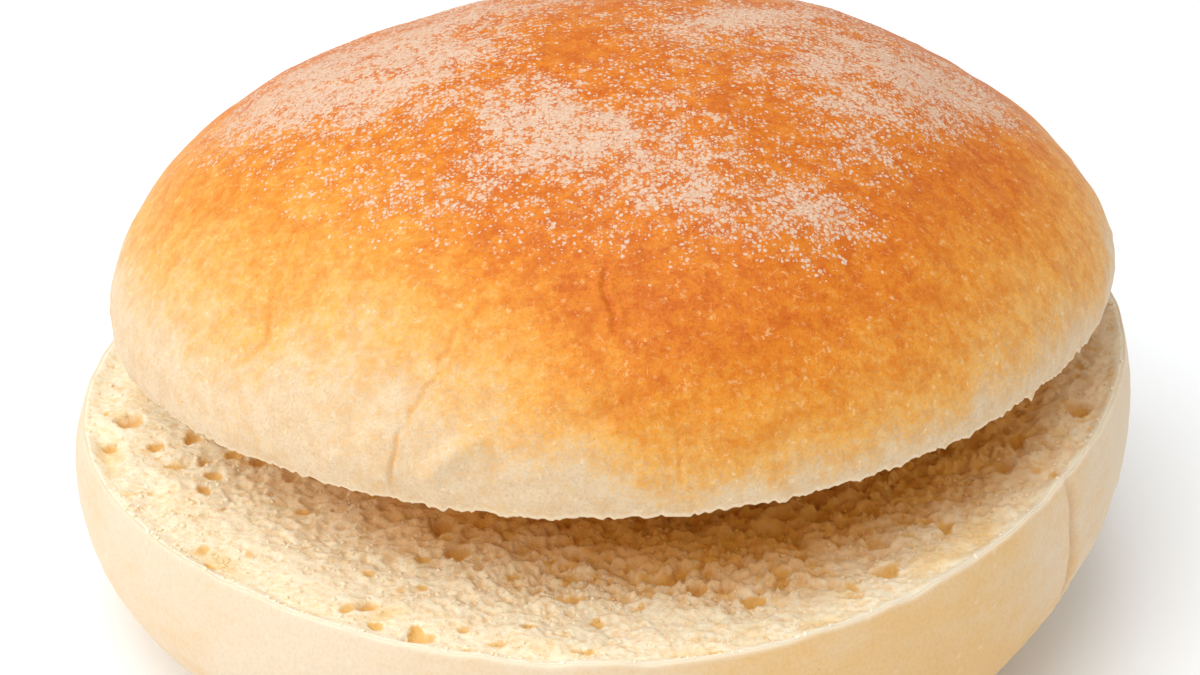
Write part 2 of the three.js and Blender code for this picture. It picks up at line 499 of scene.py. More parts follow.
def cells(x: Array, y: Array, layer: float) -> tuple[Array, Array]:
    """Splits the plane into uneven cells of about one unit, like bubbles that touch.

    Args:
        x: First coordinate, in units of the cells' size.
        y: Second coordinate.
        layer: Picks the pattern.

    Returns:
        A number from -1 to 1 that is the same all over a cell, and 0 on its walls to about 1 inside.
    """
    i, j = np.floor(x), np.floor(y)
    first = np.full(x.shape, 9.0)
    second = first.copy()
    owner = np.zeros(x.shape)
    for a in (-1, 0, 1):
        for b in (-1, 0, 1):
            cx = i + a + 0.5 + 0.42 * lattice(i + a, j + b, layer + 0 * i)
            cy = j + b + 0.5 + 0.42 * lattice(i + a, j + b, layer + 31 + 0 * i)
            away = np.hypot(x - cx, y - cy)
            closer = away < first
            owner = np.where(closer, lattice(i + a, j + b, layer + 67 + 0 * i), owner)
            second = np.where(closer, first, np.minimum(second, away))
            first = np.where(closer, away, first)
    return owner, second - first


@dataclass(frozen=True)
class Crumb:
    """The open crumb of a cut face: broad crags and pores as in the solids, with bubbles and fine holes.

    Attributes:
        pores: Number of large pores.
        narrowest: Width of the smallest of them.
        widest: Width of the largest.
        deepest: Depth of the largest.
        crag_height: Height of the broad crags.
        crag_size: Distance over which they change.
        rim_band: Share of the radius over which the crags fade to the rim.
        bubbles: Size and depth of each layer of opened bubbles; the last are too small to look hollow.
        holes: Number of fine holes.
        hole_radius: Radius of the smallest and the largest of them.
        grain: Size and height of the finest roughness.
        pore_width: Width of a large pore's mouth as a share of that in the solids.
        fray: Distance over which the edges of the holes wander, and how far.
        cut_strength: Strength of the fine relief near the rim, where the knife went through cleanly.
        tear_strength: How much stronger it is in the middle, where the crumb tore.
        tear_ends: Shares of the radius between which the tearing stops.
        left_strength: Share of the fine relief that is left at the left.
        right_gain: How much that share grows to the right.
        right_ends: Places between left and right, as shares of the radius, between which it grows.
        flat_rim: Shares of the radius between which the relief flattens out.
        thickness: Thickness of the slab.
        hidden_share: Radius of the slab's hidden side, as a share of the half's.
    """

    pores: int = 60
    narrowest: float = 3.0
    widest: float = 5.6
    deepest: float = 2.0
    crag_height: float = 0.75
    crag_size: float = 6.5
    rim_band: float = 0.07
    bubbles: tuple[tuple[float, float], ...] = ((2.6, 0.5), (1.5, 0.6), (0.9, 0.42))
    holes: int = 1500
    hole_radius: tuple[float, float] = (0.3, 1.2)
    grain: tuple[float, float] = (0.8, 0.12)
    pore_width: float = 0.6
    fray: tuple[float, float] = (1.3, 0.3)
    cut_strength: float = 0.32
    tear_strength: float = 0.75
    tear_ends: tuple[float, float] = (0.66, 0.93)
    left_strength: float = 0.45
    right_gain: float = 0.65
    right_ends: tuple[float, float] = (-0.6, 0.45)
    flat_rim: tuple[float, float] = (0.965, 0.995)
    thickness: float = 7.5
    hidden_share: float = 0.935

    def large_pores(self, radius: float, seed: int) -> Array:
        """Spreads the large pores evenly over a disc, as in the solids.

        Args:
            radius: Radius of the disc.
            seed: Picks the pores.

        Returns:
            x, y and width of each pore.
        """
        draw = SeededDraw(seed).draw
        rows = []
        for i in range(self.pores):
            out = radius * sqrt((i + draw()) / self.pores)
            angle = i * pi * (3 - sqrt(5)) + 0.9 * draw()
            width = self.narrowest + (self.widest - self.narrowest) * draw() ** 2
            rows.append((out * cos(angle), out * sin(angle), width))
        return np.array(rows)

    def roughness(self, radius: float, x: Array, share: Array) -> Array:
        """Returns how strong the fine relief is: calmer towards the rim and at the left."""
        torn = self.cut_strength + self.tear_strength * (1 - smoothstep(share, *self.tear_ends))
        return torn * (self.left_strength + self.right_gain * smoothstep(x / radius, *self.right_ends))

    def depth(self, radius: float, seed: int, x: Array, y: Array, share: Array) -> tuple[Array, Array]:
        """Works out how far the crumb lies under its smooth face.

        Args:
            radius: Radius of the cut face.
            seed: Picks the pores.
            x: Place from the middle of the cut.
            y: The same.
            share: Share of the way from the middle to the rim.

        Returns:
            The depth, and how hollow each place is, from 0 to 1.
        """
        size = self.crag_size
        broad = noise(x / size, y / size, 4.5)
        fine = noise(2.1 * x / size, 2.1 * y / size, 7.5)
        depth = self.crag_height * np.maximum(0, 1 + 0.7 * broad + 0.5 * fine)
        crags = depth.copy()
        size, far = self.fray
        frayed_x = x + far * rough_noise(x / size, y / size, seed + 0.5, 2)
        frayed_y = y + far * rough_noise(x / size, y / size, seed + 5.5, 2)
        hollow = np.zeros(len(x))
        for px, py, width in self.large_pores(radius, seed):
            near = np.nonzero((abs(x - px) < width) & (abs(y - py) < width))[0]
            off = np.hypot(frayed_x[near] - px, frayed_y[near] - py) / (self.pore_width * width / 2)
            bowl = np.maximum(0, 1 - off * off)
            sunk = self.crag_height + 0.8 * self.deepest * (width / self.widest) * bowl**0.6
            depth[near] = np.where(bowl > 0, np.maximum(depth[near], sunk), depth[near])
            hollow[near] = np.maximum(hollow[near], bowl**0.5)
        torn = self.roughness(radius, x, share)
        for layer, (size, height) in enumerate(self.bubbles):
            owner, inside = cells(frayed_x / size, frayed_y / size, seed + 3.0 * layer)
            pit = np.clip(0.45 + 0.9 * owner, 0, 1) * smoothstep(inside, 0.03, 0.5)
            depth += torn * height * (pit + 0.3 * owner)
            if layer < len(self.bubbles) - 1:
                hollow = np.maximum(hollow, 0.8 * torn**1.3 * pit)
        hollow = np.maximum(hollow, 0.6 * smoothstep(depth - crags, 0.35, 1.2))
        holes, open_share = self.fine_holes(radius, seed, frayed_x, frayed_y)
        depth = np.maximum(depth, depth * 0.5 + holes * (0.6 + 0.4 * torn))
        hollow = np.maximum(hollow, open_share)
        size, height = self.grain
        depth += torn * height * rough_noise(x / size, y / size, seed + 9.5, 3)
        fade = 1 - smoothstep(share, 1 - self.rim_band, 1)
        inside = 1 - smoothstep(share, *self.flat_rim)
        return depth * (0.6 * inside + 0.4 * fade), hollow * (0.3 + 0.7 * inside)

    def fine_holes(self, radius: float, seed: int, x: Array, y: Array) -> tuple[Array, Array]:
        """Cuts small bubbles at random heights, as a knife does.

        Args:
            radius: Radius of the cut face.
            seed: Picks the bubbles.
            x: Place from the middle of the cut.
            y: The same.

        Returns:
            The depth of the holes, and how open each place is, from 0 to 1.
        """
        rng = np.random.default_rng(seed)
        out = radius * np.sqrt(rng.random(self.holes))
        angle = rng.random(self.holes) * 2 * pi
        small, large = self.hole_radius
        size = small * (large / small) ** (rng.random(self.holes) ** 2.4)
        lift = size * rng.uniform(-0.7, 0.75, self.holes)
        stretch = rng.uniform(0.7, 1.4, self.holes)
        turn = rng.uniform(0, pi, self.holes)
        cell = 2.0 * large
        key = np.floor(x / cell).astype(int) * 10000 + np.floor(y / cell).astype(int)
        order = np.argsort(key, kind="stable")
        edges = np.nonzero(np.diff(key[order]))[0] + 1
        groups = {int(key[g[0]]): g for g in np.split(order, edges)}
        empty = np.zeros(0, int)
        depth = np.zeros(len(x))
        opening = np.zeros(len(x))
        for hx, hy, r, h, s, a in zip(out * np.cos(angle), out * np.sin(angle), size, lift, stretch, turn):
            i, j = int(np.floor(hx / cell)), int(np.floor(hy / cell))
            around = ((i + a1) * 10000 + j + b1 for a1 in (-1, 0, 1) for b1 in (-1, 0, 1))
            near = np.concatenate([groups.get(key, empty) for key in around])
            if not len(near):
                continue
            dx, dy = x[near] - hx, y[near] - hy
            along = (dx * cos(a) + dy * sin(a)) / s
            across = (-dx * sin(a) + dy * cos(a)) * s
            inside = r * r - along * along - across * across
            bowl = np.sqrt(np.maximum(0, inside)) - h
            cut = (inside > 0) & (bowl > 0)
            depth[near] = np.where(cut, np.maximum(depth[near], bowl), depth[near])
            opening[near] = np.where(cut, np.maximum(opening[near], np.minimum(1, bowl / 1.1)), opening[near])
        return depth, opening


@dataclass(frozen=True)
class CrustSkin:
    """Fine relief of the crust, over the slow waves that the solids have.

    Attributes:
        wave_height: Height of the slow waves.
        wave_size: Distance over which they change.
        dimple: Size and height of the shallow dimples.
        wrinkle: Size and height of the fine wrinkles.
        blisters: Number of small blisters.
        blister_radius: Radius of the smallest and the largest.
        blister_height: Height of a blister as a share of its radius.
    """

    wave_height: float = 0.5
    wave_size: float = 19.0
    dimple: tuple[float, float] = (6.5, 0.2)
    wrinkle: tuple[float, float] = (1.7, 0.035)
    blisters: int = 520
    blister_radius: tuple[float, float] = (0.35, 0.95)
    blister_height: float = 0.12

    def relief(self, points: Array, seed: int) -> Array:
        """Works out the fine relief.

        Args:
            points: Places on the smooth crust.
            seed: Picks the pattern.

        Returns:
            The height to add along the crust's normal at each place.
        """
        x, y, z = points.T
        size, height = self.dimple
        wave = self.wave_height * noise(x / self.wave_size, y / self.wave_size, z / self.wave_size)
        dimples = height * rough_noise(x / size, y / size, z / size + seed, 2)
        size, height = self.wrinkle
        wrinkles = height * rough_noise(x / size, y / size, z / size + seed, 2)
        return wave + dimples + wrinkles + self.blister_relief(points, seed)

    def blister_relief(self, points: Array, seed: int) -> Array:
        """Raises the blisters, each a low dome on a place picked at random.

        Args:
            points: Places on the smooth crust.
            seed: Picks the places.

        Returns:
            The height at each place.
        """
        rng = np.random.default_rng(seed)
        height = np.zeros(len(points))
        middles = points[rng.integers(0, len(points), self.blisters)]
        small, large = self.blister_radius
        for middle, draw in zip(middles, rng.random(self.blisters)):
            r = small + (large - small) * draw**2
            near = np.nonzero((abs(points - middle) < r).all(1))[0]
            off = np.linalg.norm(points[near] - middle, axis=1) / r
            bump = self.blister_height * r * np.maximum(0, 1 - off**2) ** 1.5
            height[near] = np.maximum(height[near], bump)
        return height


@dataclass(frozen=True)
class CutEdge:
    """The crust's own thickness where the knife went through: a pale, slightly ragged ring.

    Attributes:
        thickness: How thick the crust is.
        ragged: Share by which the thickness comes and goes.
        frill: Height of the small rags that stand up from it.
        depth: How far the hidden side of the crust lies behind the cut.
        hidden_share: Radius of that hidden side, as a share of the half's.
        overlap: Share of the thickness that the crumb covers.
    """

    thickness: float = 0.6
    ragged: float = 0.5
    frill: float = 0.12
    depth: float = 4.6
    hidden_share: float = 0.955
    overlap: float = 0.45

    def width(self, angle: Array, radius: float) -> Array:
        """Returns the crust's thickness at each angle."""
        arc = angle * radius
        uneven = 0.6 * noise(arc / 7.0, 3.5, 1.5) + 0.5 * noise(arc / 1.3, 8.5, 1.5)
        return self.thickness * (1 + self.ragged * uneven)

    def steps(self) -> tuple[tuple[float, float], ...]:
        """Returns the rings inwards from the rim: share of the thickness, and how deep each one sinks."""
        return ((0.14, 0.02), (0.34, 0.03), (0.6, 0.08), (0.88, 0.25), (1.04, 0.5), (1.2, 1.2))

    def rags(self, x: Array, y: Array) -> Array:
        """Returns the height of the rags at places on the cut edge."""
        fine = noise(x / 0.7, y / 0.7, 4.5) + 0.7 * noise(x / 1.9, y / 1.9, 6.5)
        return self.frill * fine


# From the middle of the heel's outline to the middle of the roll's box.
CENTRE_SHIFT = np.array([1.26, 0.51, 0.0])
RIM_CHIP_HEIGHT = 0.35
RIM_CHIP_SIZE = 3.4
# Depth from which a groove is marked in full.
FULL_GROOVE = 0.4


def rim_chip(x: Array, y: Array) -> Array:
    """Returns how far the knife chipped the rim up or down."""
    return RIM_CHIP_HEIGHT * noise(x / RIM_CHIP_SIZE, y / RIM_CHIP_SIZE, 9.5)


def rotation(about_x: float, about_y: float) -> Array:
    """Returns the matrix that turns by about_x degrees round X, then by about_y degrees round Y."""
    return np.array(Euler((radians(about_x), radians(about_y), 0), "XYZ").to_matrix())


class CutHalf:
    """What the two halves have in common: a creased crust round cut crumb."""

    outline: Outline
    tuck: float
    edge: CutEdge
    creases: tuple[Crease, ...]

    def on_crust(self, angle: Array, up: Array) -> Array:
        """Returns points of the smooth crust at angles and shares of the way up."""
        raise NotImplementedError

    def fold(self, smooth: Array, relief: Array, strength: Array | float) -> Array:
        """Adds the creases to the crust's relief.

        Args:
            smooth: Points of the crust before any relief.
            relief: Height at each of them; the creases are added to it.
            strength: Share of the creases' height that counts.

        Returns:
            How strongly a groove marks each point, from 0 to 1.
        """
        groove = np.zeros(len(smooth))
        for crease in self.creases:
            lift, mark = crease.relief(smooth, self.on_crust)
            relief += lift * strength
            groove = np.maximum(groove, mark * min(1, crease.depth / FULL_GROOVE))
        return groove

    def crumb_places(self, disc: Disc) -> tuple[Array, Array, Array]:
        """Spreads a disc over the crumb, up to the crust's cut edge.

        Args:
            disc: The disc.

        Returns:
            The share of the way to the rim, the angle and the radius of every vertex.
        """
        share, angle = disc.places()
        outer = self.outline.reach(angle) * (1 - self.tuck)
        width = self.edge.width(angle, self.outline.radius)
        share = share * (1 - self.edge.overlap * width / outer)
        return share, angle, outer * share

    def hidden_places(self, cap: Disc, hidden_share: float) -> tuple[Array, Array, Array, Array]:
        """Spreads a disc over a hidden side.

        Args:
            cap: The disc.
            hidden_share: Radius of the hidden side, as a share of the half's.

        Returns:
            The share of the way to the rim, the angle, x and y of every vertex.
        """
        share, turn = cap.places()
        radius = self.outline.reach(turn) * hidden_share * share
        return share, turn, radius * np.cos(turn), radius * np.sin(turn)


@dataclass(frozen=True)
class FlourPatch:
    """Flour on the dome, thickest in the middle of an oval.

    Attributes:
        x: Middle of the oval, from the middle of the cut.
        y: The same.
        half_x: Half its width.
        half_y: Half its depth.
        slant: How far it slants, as y for each x.
        strength: How much lies there, negative where some was brushed off.
        fray: Distance over which its edge wanders, and how far as a share of its size.
        ends: Shares of its size between which it thins out.
    """

    x: float
    y: float
    half_x: float
    half_y: float
    slant: float
    strength: float
    fray: tuple[float, float] = (5.0, 0.3)
    ends: tuple[float, float] = (0.25, 1.5)

    def amount(self, x: Array, y: Array) -> Array:
        """Returns how much flour the patch adds at places on the dome."""
        px = x - self.x
        py = y - self.y - self.slant * px
        size, far = self.fray
        off = np.sqrt((px / self.half_x) ** 2 + (py / self.half_y) ** 2)
        off += far * rough_noise(x / size, y / size, self.x + 0.5, 2)
        return self.strength * (1 - smoothstep(off, *self.ends))


FLOUR_PATCHES = (
    FlourPatch(-25.0, -0.5, 13.0, 12.5, -0.3, 0.72),
    FlourPatch(-38.0, 1.0, 8.0, 9.0, 0.0, 0.42),
    FlourPatch(-13.0, 10.0, 7.0, 6.0, 0.0, 0.42),
    FlourPatch(-9.0, -16.5, 5.5, 5.0, 0.0, 0.5),
    FlourPatch(-4.0, -23.5, 8.5, 5.5, -0.1, 0.68),
    FlourPatch(7.0, -24.0, 8.0, 6.0, 0.0, 0.24),
    FlourPatch(32.0, 3.0, 13.0, 11.0, 0.5, 0.68),
    FlourPatch(42.0, 4.0, 6.0, 9.0, 0.0, 0.25),
    FlourPatch(14.0, 6.0, 12.0, 6.5, 0.7, 0.55),
    FlourPatch(22.0, -13.0, 9.0, 7.0, 0.0, 0.2),
    FlourPatch(5.0, -31.5, 9.0, 4.5, 0.0, 0.24),
    FlourPatch(18.5, -32.0, 9.0, 6.5, 0.1, 0.42),
    FlourPatch(-15.0, -29.5, 7.0, 3.5, 0.0, 0.24),
    FlourPatch(-2.0, 31.0, 30.0, 17.0, 0.0, 0.55),
    FlourPatch(-3.0, -5.0, 6.0, 6.0, 0.0, -0.2),
    FlourPatch(18.0, -14.5, 6.0, 5.5, 0.0, -0.15),
)

# How far up the dome the crust starts to brown and is fully brown, by degrees round from +X. This is partly the
# real uneven bake and partly painted light and shade: paler on the brightly lit left, browner at the front and
# right.
BROWNING_AND_LIGHT = (
    (0, 0.14, 0.62),
    (60, 0.14, 0.62),
    (120, 0.14, 0.66),
    (180, 0.2, 0.88),
    (206, 0.2, 0.98),
    (232, 0.24, 0.95),
    (250, 0.25, 0.84),
    (262, 0.13, 0.7),
    (274, 0.0, 0.45),
    (296, 0.02, 0.49),
    (318, 0.1, 0.62),
    (342, 0.09, 0.57),
    (360, 0.14, 0.62),
)


@dataclass(frozen=True)
class Crown(CutHalf):
    """The top half: a domed crust over cut crumb, tipped back on the bottom half.

    It is shaped in its own frame, with the middle of the cut at the origin, and then set in place.

    Attributes:
        outline: Its plan outline.
        tuck: Share by which the crust draws in from the widest to the cut.
        height: Height of the dome over the cut.
        shoulder: Height of the widest point over the cut.
        dome_across: Superellipse exponent of the dome across.
        dome_up: The same upwards.
        lean: How far the top sits to the side.
        cut_warp: How far the knife wavered.
        belly: How far the crumb bulges out of the crust.
        tip: Turn about X and about Y.
        place: Middle of its cut.
        widest: Share of the way from the top to the rim at which the dome is widest.
        crust_rings: Rings of the crust's mesh.
        crumb_rings: Rings of the crumb's mesh.
        skin: Fine relief of the crust.
        crumb: Relief of the crumb.
        edge: The crust's cut edge.
        creases: Where the skin split or folded.
        flour: Where flour lies.
        bake: How brown the dome grows on the way up, by side; partly the real bake, partly painted light and
            shade.
        broad_teeth: Size of the broad rags of the rim, their height, and how much higher they are at the
            front right.
        fine_teeth: The same of the fine rags.
        ragged_side: Where the rim is most ragged.
        crumb_seed: Picks the pores.
    """

    outline: Outline = Outline(54.4, 0.033, 0.032)
    tuck: float = 0.015
    height: float = 32.2
    shoulder: float = 3.2
    dome_across: float = 2.07
    dome_up: float = 1.71
    lean: float = -2.0
    cut_warp: float = 0.6
    belly: float = 2.4
    tip: tuple[float, float] = (-7.25, -2.5)
    place: tuple[float, float, float] = (0.7, 2.6, 34.3)
    widest: float = 1 - 2 / 23
    crust_rings: int = 160
    crumb_rings: int = 130
    skin: CrustSkin = CrustSkin()
    crumb: Crumb = Crumb()
    edge: CutEdge = CutEdge()
    creases: tuple[Crease, ...] = (
        Crease(((218.5, 0.68), (221.5, 0.58), (225.5, 0.38), (222, 0.29)), 0.16, 0.26, 0.05),
        Crease(((220, 0.66), (227.5, 0.725)), 0.1, 0.3, 0.03),
        Crease(((255, 0.60), (249.5, 0.44), (246, 0.23)), 0.14, 0.28, 0.05, 1.1),
        Crease(((246, 0.25), (245.4, 0.14), (244.5, 0.03)), 0.2, 0.22, 0.07, 0.6),
        Crease(((270.5, 0.67), (271, 0.59), (270.5, 0.51)), 0.24, 0.32, 0.16, 0.9),
        Crease(((275, 0.37), (270, 0.32), (264, 0.3)), 0.15, 1.4, 0.0, 0.6),
        Crease(((249, 0.06), (251.5, 0.15), (256.5, 0.26)), -0.7, 1.2, 0.0, 0.9),
        Crease(((243.5, 0.05), (243.5, 0.12), (240.5, 0.2)), -0.6, 1.2, 0.0, 0.9),
        Crease(((236, 0.05), (238, 0.14)), -0.3, 1.0, 0.0, 0.8),
        Crease(((269, 0.53), (264.5, 0.48), (258.5, 0.425)), 0.12, 0.25, 0.03, 0.7),
        Crease(((277, 0.275), (276.5, 0.08)), 0.1, 0.25, 0.05, 0.5),
        Crease(((62, 0.06), (66, 0.25), (70, 0.45)), 0.12, 0.3, 0.03),
        Crease(((140, 0.04), (133, 0.38)), 0.12, 0.3, 0.03),
    )
    flour: tuple[FlourPatch, ...] = FLOUR_PATCHES
    bake: tuple[tuple[float, float, float], ...] = BROWNING_AND_LIGHT
    broad_teeth: tuple[float, float, float] = (1.5, 0.2, 0.37)
    fine_teeth: tuple[float, float, float] = (0.75, 0.32, 0.02)
    ragged_side: float = 322
    crumb_seed: int = 11

    def turn(self) -> Array:
        """Returns the matrix that tips the half back and to the side."""
        return rotation(*self.tip)

    def set_down(self, points: Array) -> Array:
        """Takes points from the half's own frame to the roll's."""
        return points @ self.turn().T + np.array(self.place) + CENTRE_SHIFT

    def face_height(self, x: Array, y: Array) -> Array:
        """Works out how high the smooth cut face is.

        Args:
            x: Place on the table, from the middle of the roll's outline.
            y: The same.

        Returns:
            The height over each place.
        """
        up = self.turn()[:, 2]
        cx, cy, cz = self.place
        plane = cz - (up[0] * (x - cx) + up[1] * (y - cy)) / up[2]
        return plane - self.bulge(np.hypot(x - cx, y - cy) / self.outline.radius)

    def bulge(self, share: Array) -> Array:
        """Returns how far the crumb bulges at shares of the radius."""
        return self.belly * np.maximum(0, 1 - share**2) ** 2

    def dome(self, share: Array) -> tuple[Array, Array, Array]:
        """Follows the dome from its top to the rim.

        Args:
            share: Share of the way.

        Returns:
            Share of the radius, height, and share of the way from the widest point down to the rim.
        """
        over = np.minimum(1, share / self.widest)
        under = np.maximum(0, (share - self.widest) / (1 - self.widest))
        lift = np.maximum(0, np.cos(over * pi / 2)) ** (2 / self.dome_up)
        reach = np.sin(over * pi / 2) ** (2 / self.dome_across)
        return reach, self.shoulder * (1 - under) + (self.height - self.shoulder) * lift, under

    def smooth_crust(self, reach: Array, height: Array, under: Array, angle: Array) -> Array:
        """Returns points of the dome before any relief."""
        radius = self.outline.reach(angle) * reach * (1 - self.tuck * under**2)
        lean = self.lean * (height / self.height) ** 1.5
        return np.stack([radius * np.cos(angle) + lean, radius * np.sin(angle), height], 1)

    def on_crust(self, angle: Array, up: Array) -> Array:
        """Finds points of the smooth dome.

        Args:
            angle: Angle round from +X, in radians.
            up: Share of the way up.

        Returns:
            The points.
        """
        height = up * self.height
        lift = np.clip((height - self.shoulder) / (self.height - self.shoulder), 0, 1)
        over = np.arccos(lift ** (self.dome_up / 2)) * 2 / pi
        reach = np.sin(over * pi / 2) ** (2 / self.dome_across)
        return self.smooth_crust(reach, height, np.clip(1 - height / self.shoulder, 0, 1), angle)

    def teeth(self, angle: Array) -> Array:
        """Returns how far the ragged rim hangs down, most at the front right."""
        arc = angle * self.outline.radius
        right = smoothstep(np.cos(angle - radians(self.ragged_side)), 0.55, 1)
        size, height, more = self.broad_teeth
        broad = (height + more * right) * smoothstep(noise(arc / size, 2.5, 7.5), -0.1, 0.6)
        size, height, more = self.fine_teeth
        return broad + (height + more * right) * rough_noise(arc / size, 5.5, 7.5, 2)

    def browning_and_light(self, angle: Array, up: Array, points: Array) -> Array:
        """Works out how brown the crust is: paler along the rim, and paler at the left partly as painted light.

        Args:
            angle: Angle of each place, in radians.
            up: Share of the way up.
            points: The places.

        Returns:
            The brownness, from 0 to 1.
        """
        x, y, z = points.T
        patchy = 0.07 * rough_noise(x / 13, y / 13, z / 13 + 3.5, 3)
        streaky = 0.03 * rough_noise(x / 2.2, y / 2.2, z / 6 + 8.5, 2)
        # The limits by side are partly painted light and shade: higher on the brightly lit left, lower at the
        # front and right.
        degrees, low, high = np.array(self.bake).T
        turn = np.degrees(angle) % 360
        low, high = np.interp(turn, degrees, low), np.interp(turn, degrees, high)
        return np.clip((up + patchy + streaky - low) / (high - low), 0, 1)

    def floured(self, points: Array, up: Array) -> Array:
        """Works out how much flour lies on the dome.

        Args:
            points: Places on the crust.
            up: Share of the way up.

        Returns:
            The amount, from 0 to 1.
        """
        x, y, z = points.T
        amount = 0.25 * smoothstep(up, 0.58, 0.8)
        for patch in self.flour:
            amount = amount + patch.amount(x, y)
        streaks = 1 + 0.45 * rough_noise(x / 4.5, y / 3.2, 14.5, 3)
        return np.clip(amount * streaks, 0, 0.92) * smoothstep(up, 0.38, 0.63)

    def cut_height(self, angle: Array, share: Array, radius: Array) -> Array:
        """Returns the height of the smooth cut face in the half's own frame."""
        return -self.cut_warp * np.sin(3 * angle) * share**8 - self.bulge(radius / self.outline.radius)

    def build_crust(self) -> bpy.types.Mesh:
        """Shapes the crust as a closed solid with a hollow for the crumb.

        Returns:
            The mesh.
        """
        disc = Disc(self.crust_rings, front=0.4)
        share, angle = disc.places()
        reach, height, under = self.dome(share)
        smooth = self.smooth_crust(reach, height, under, angle)
        up = height / self.height
        plain = smooth - np.stack([self.lean * up**1.5, 0 * up, 0 * up], 1)
        relief = self.skin.relief(plain, 11) * (1 - under)
        groove = self.fold(smooth, relief, 1 - 0.6 * under)
        across, along = reach / self.outline.radius, up / self.height
        length = np.hypot(across, along)
        facing = np.stack([across * np.cos(angle), across * np.sin(angle), along], 1) / length[:, None]
        points = smooth + relief[:, None] * facing
        warp = -self.cut_warp * np.sin(3 * angle) + rim_chip(plain[:, 0], plain[:, 1])
        points[:, 2] += under * warp - self.teeth(angle) * smoothstep(under, 0.25, 1)
        marks = {
            "brown": self.browning_and_light(angle, up, points),
            "flour": self.floured(points, up),
            "groove": groove,
            "cut": smoothstep(under, 0.82, 1),
        }
        skin = Skin()
        chart = Chart.MAIN.lay_out(share * 0.95, angle)
        ring = skin.add_disc(disc, self.set_down(points), chart, False, marks)
        self.close_crust(skin, ring, disc, points)
        return skin.to_mesh("crown_crust")

    def close_crust(self, skin: Skin, ring: int, disc: Disc, points: Array) -> None:
        """Turns the crust in at the cut and closes it behind the crumb.

        Args:
            skin: The piece.
            ring: First vertex of the rim.
            disc: The disc that the crust's vertices lie on.
            points: The crust's points, in the half's own frame.
        """
        angle = disc.angles(disc.rings)
        rim = points[disc.start(disc.rings) :]
        width = self.edge.width(angle, self.outline.radius)
        outer = np.hypot(rim[:, 0], rim[:, 1])
        hang = rim[:, 2] - self.cut_height(angle, 1.0, outer)
        for step, (inward, sunk) in enumerate(self.edge.steps()):
            radius = outer - inward * width
            x, y = radius * np.cos(angle), radius * np.sin(angle)
            fade = max(0.0, 1 - inward) ** 1.3
            z = self.cut_height(angle, radius / outer, radius) + hang * fade + sunk
            z -= 0.4 * self.edge.rags(x, y) * (inward < 1)
            chart = Chart.MAIN.lay_out(np.full(len(angle), 0.957 + 0.006 * step), angle)
            mark = {"cut": np.full(len(angle), 1.0), "brown": 0 * angle}
            ring = skin.add_loop(self.set_down(np.stack([x, y, z], 1)), chart, ring, False, mark)
        cap = Disc(self.crust_rings // 4, front=disc.front)
        _, _, x, y = self.hidden_places(cap, self.edge.hidden_share)
        skin.close(ring, cap, self.set_down(np.stack([x, y, 0 * x + self.edge.depth], 1)), 4, False)

    def build_crumb(self) -> bpy.types.Mesh:
        """Shapes the cut crumb as a slab that fills the hollow in the crust.

        Returns:
            The mesh.
        """
        disc = Disc(self.crumb_rings, 0.8, 0.2)
        share, angle, radius = self.crumb_places(disc)
        x, y = radius * np.cos(angle), radius * np.sin(angle)
        depth, hollow = self.crumb.depth(self.outline.radius, self.crumb_seed, x, y, share)
        z = self.cut_height(angle, share, radius) + depth
        skin = Skin()
        chart = Chart.MAIN.lay_out(disc.places()[0] * 0.97, angle)
        points = self.set_down(np.stack([x, y, z], 1))
        # Painted shade: the crumb turns amber towards its middle, which faces down into the shaded mouth.
        marks = {"hollow": hollow, "deep": 1 - smoothstep(share, 0.6, 0.9)}
        ring = skin.add_disc(disc, points, chart, True, marks)
        cap = Disc(self.crumb_rings // 5, front=disc.front)
        _, _, x, y = self.hidden_places(cap, self.crumb.hidden_share)
        skin.close(ring, cap, self.set_down(np.stack([x, y, 0 * x + self.crumb.thickness], 1)), 5, True)
        return skin.to_mesh("crown_crumb")


@dataclass(frozen=True)
class Tear:
    """The torn crumb at the back that carries the top half.

    Attributes:
        middle: Middle of the arc that bounds it.
        reach: Radius of the arc where the torn crumb is at its highest.
        slope: Distance over which it falls to the cut.
        rim_share: Share of the heel's radius at which it starts to fall to the rim.
        gap: Gap to the top half.
        roughness: How far its edge wanders.
        size: Distance over which the edge wanders.
    """

    middle: tuple[float, float] = (0.0, 38.0)
    reach: float = 44.0
    slope: float = 19.0
    rim_share: float = 0.8
    gap: float = 0.4
    roughness: float = 3.0
    size: float = 13.0

    def share(self, x: Array, y: Array, share: Array) -> Array:
        """Works out how far the crumb was torn rather than cut.

        Args:
            x: Place on the table.
            y: The same.
            share: Share of the way from the middle to the rim.

        Returns:
            The share that was torn, from 0 to 1.
        """
        rough = self.roughness * noise(x / self.size, y / self.size, 2.5)
        off = np.hypot(x - self.middle[0], y - self.middle[1]) + rough
        raised = 1 - smoothstep(off, self.reach, self.reach + self.slope)
        return raised * (1 - smoothstep(share, self.rim_share, 1))


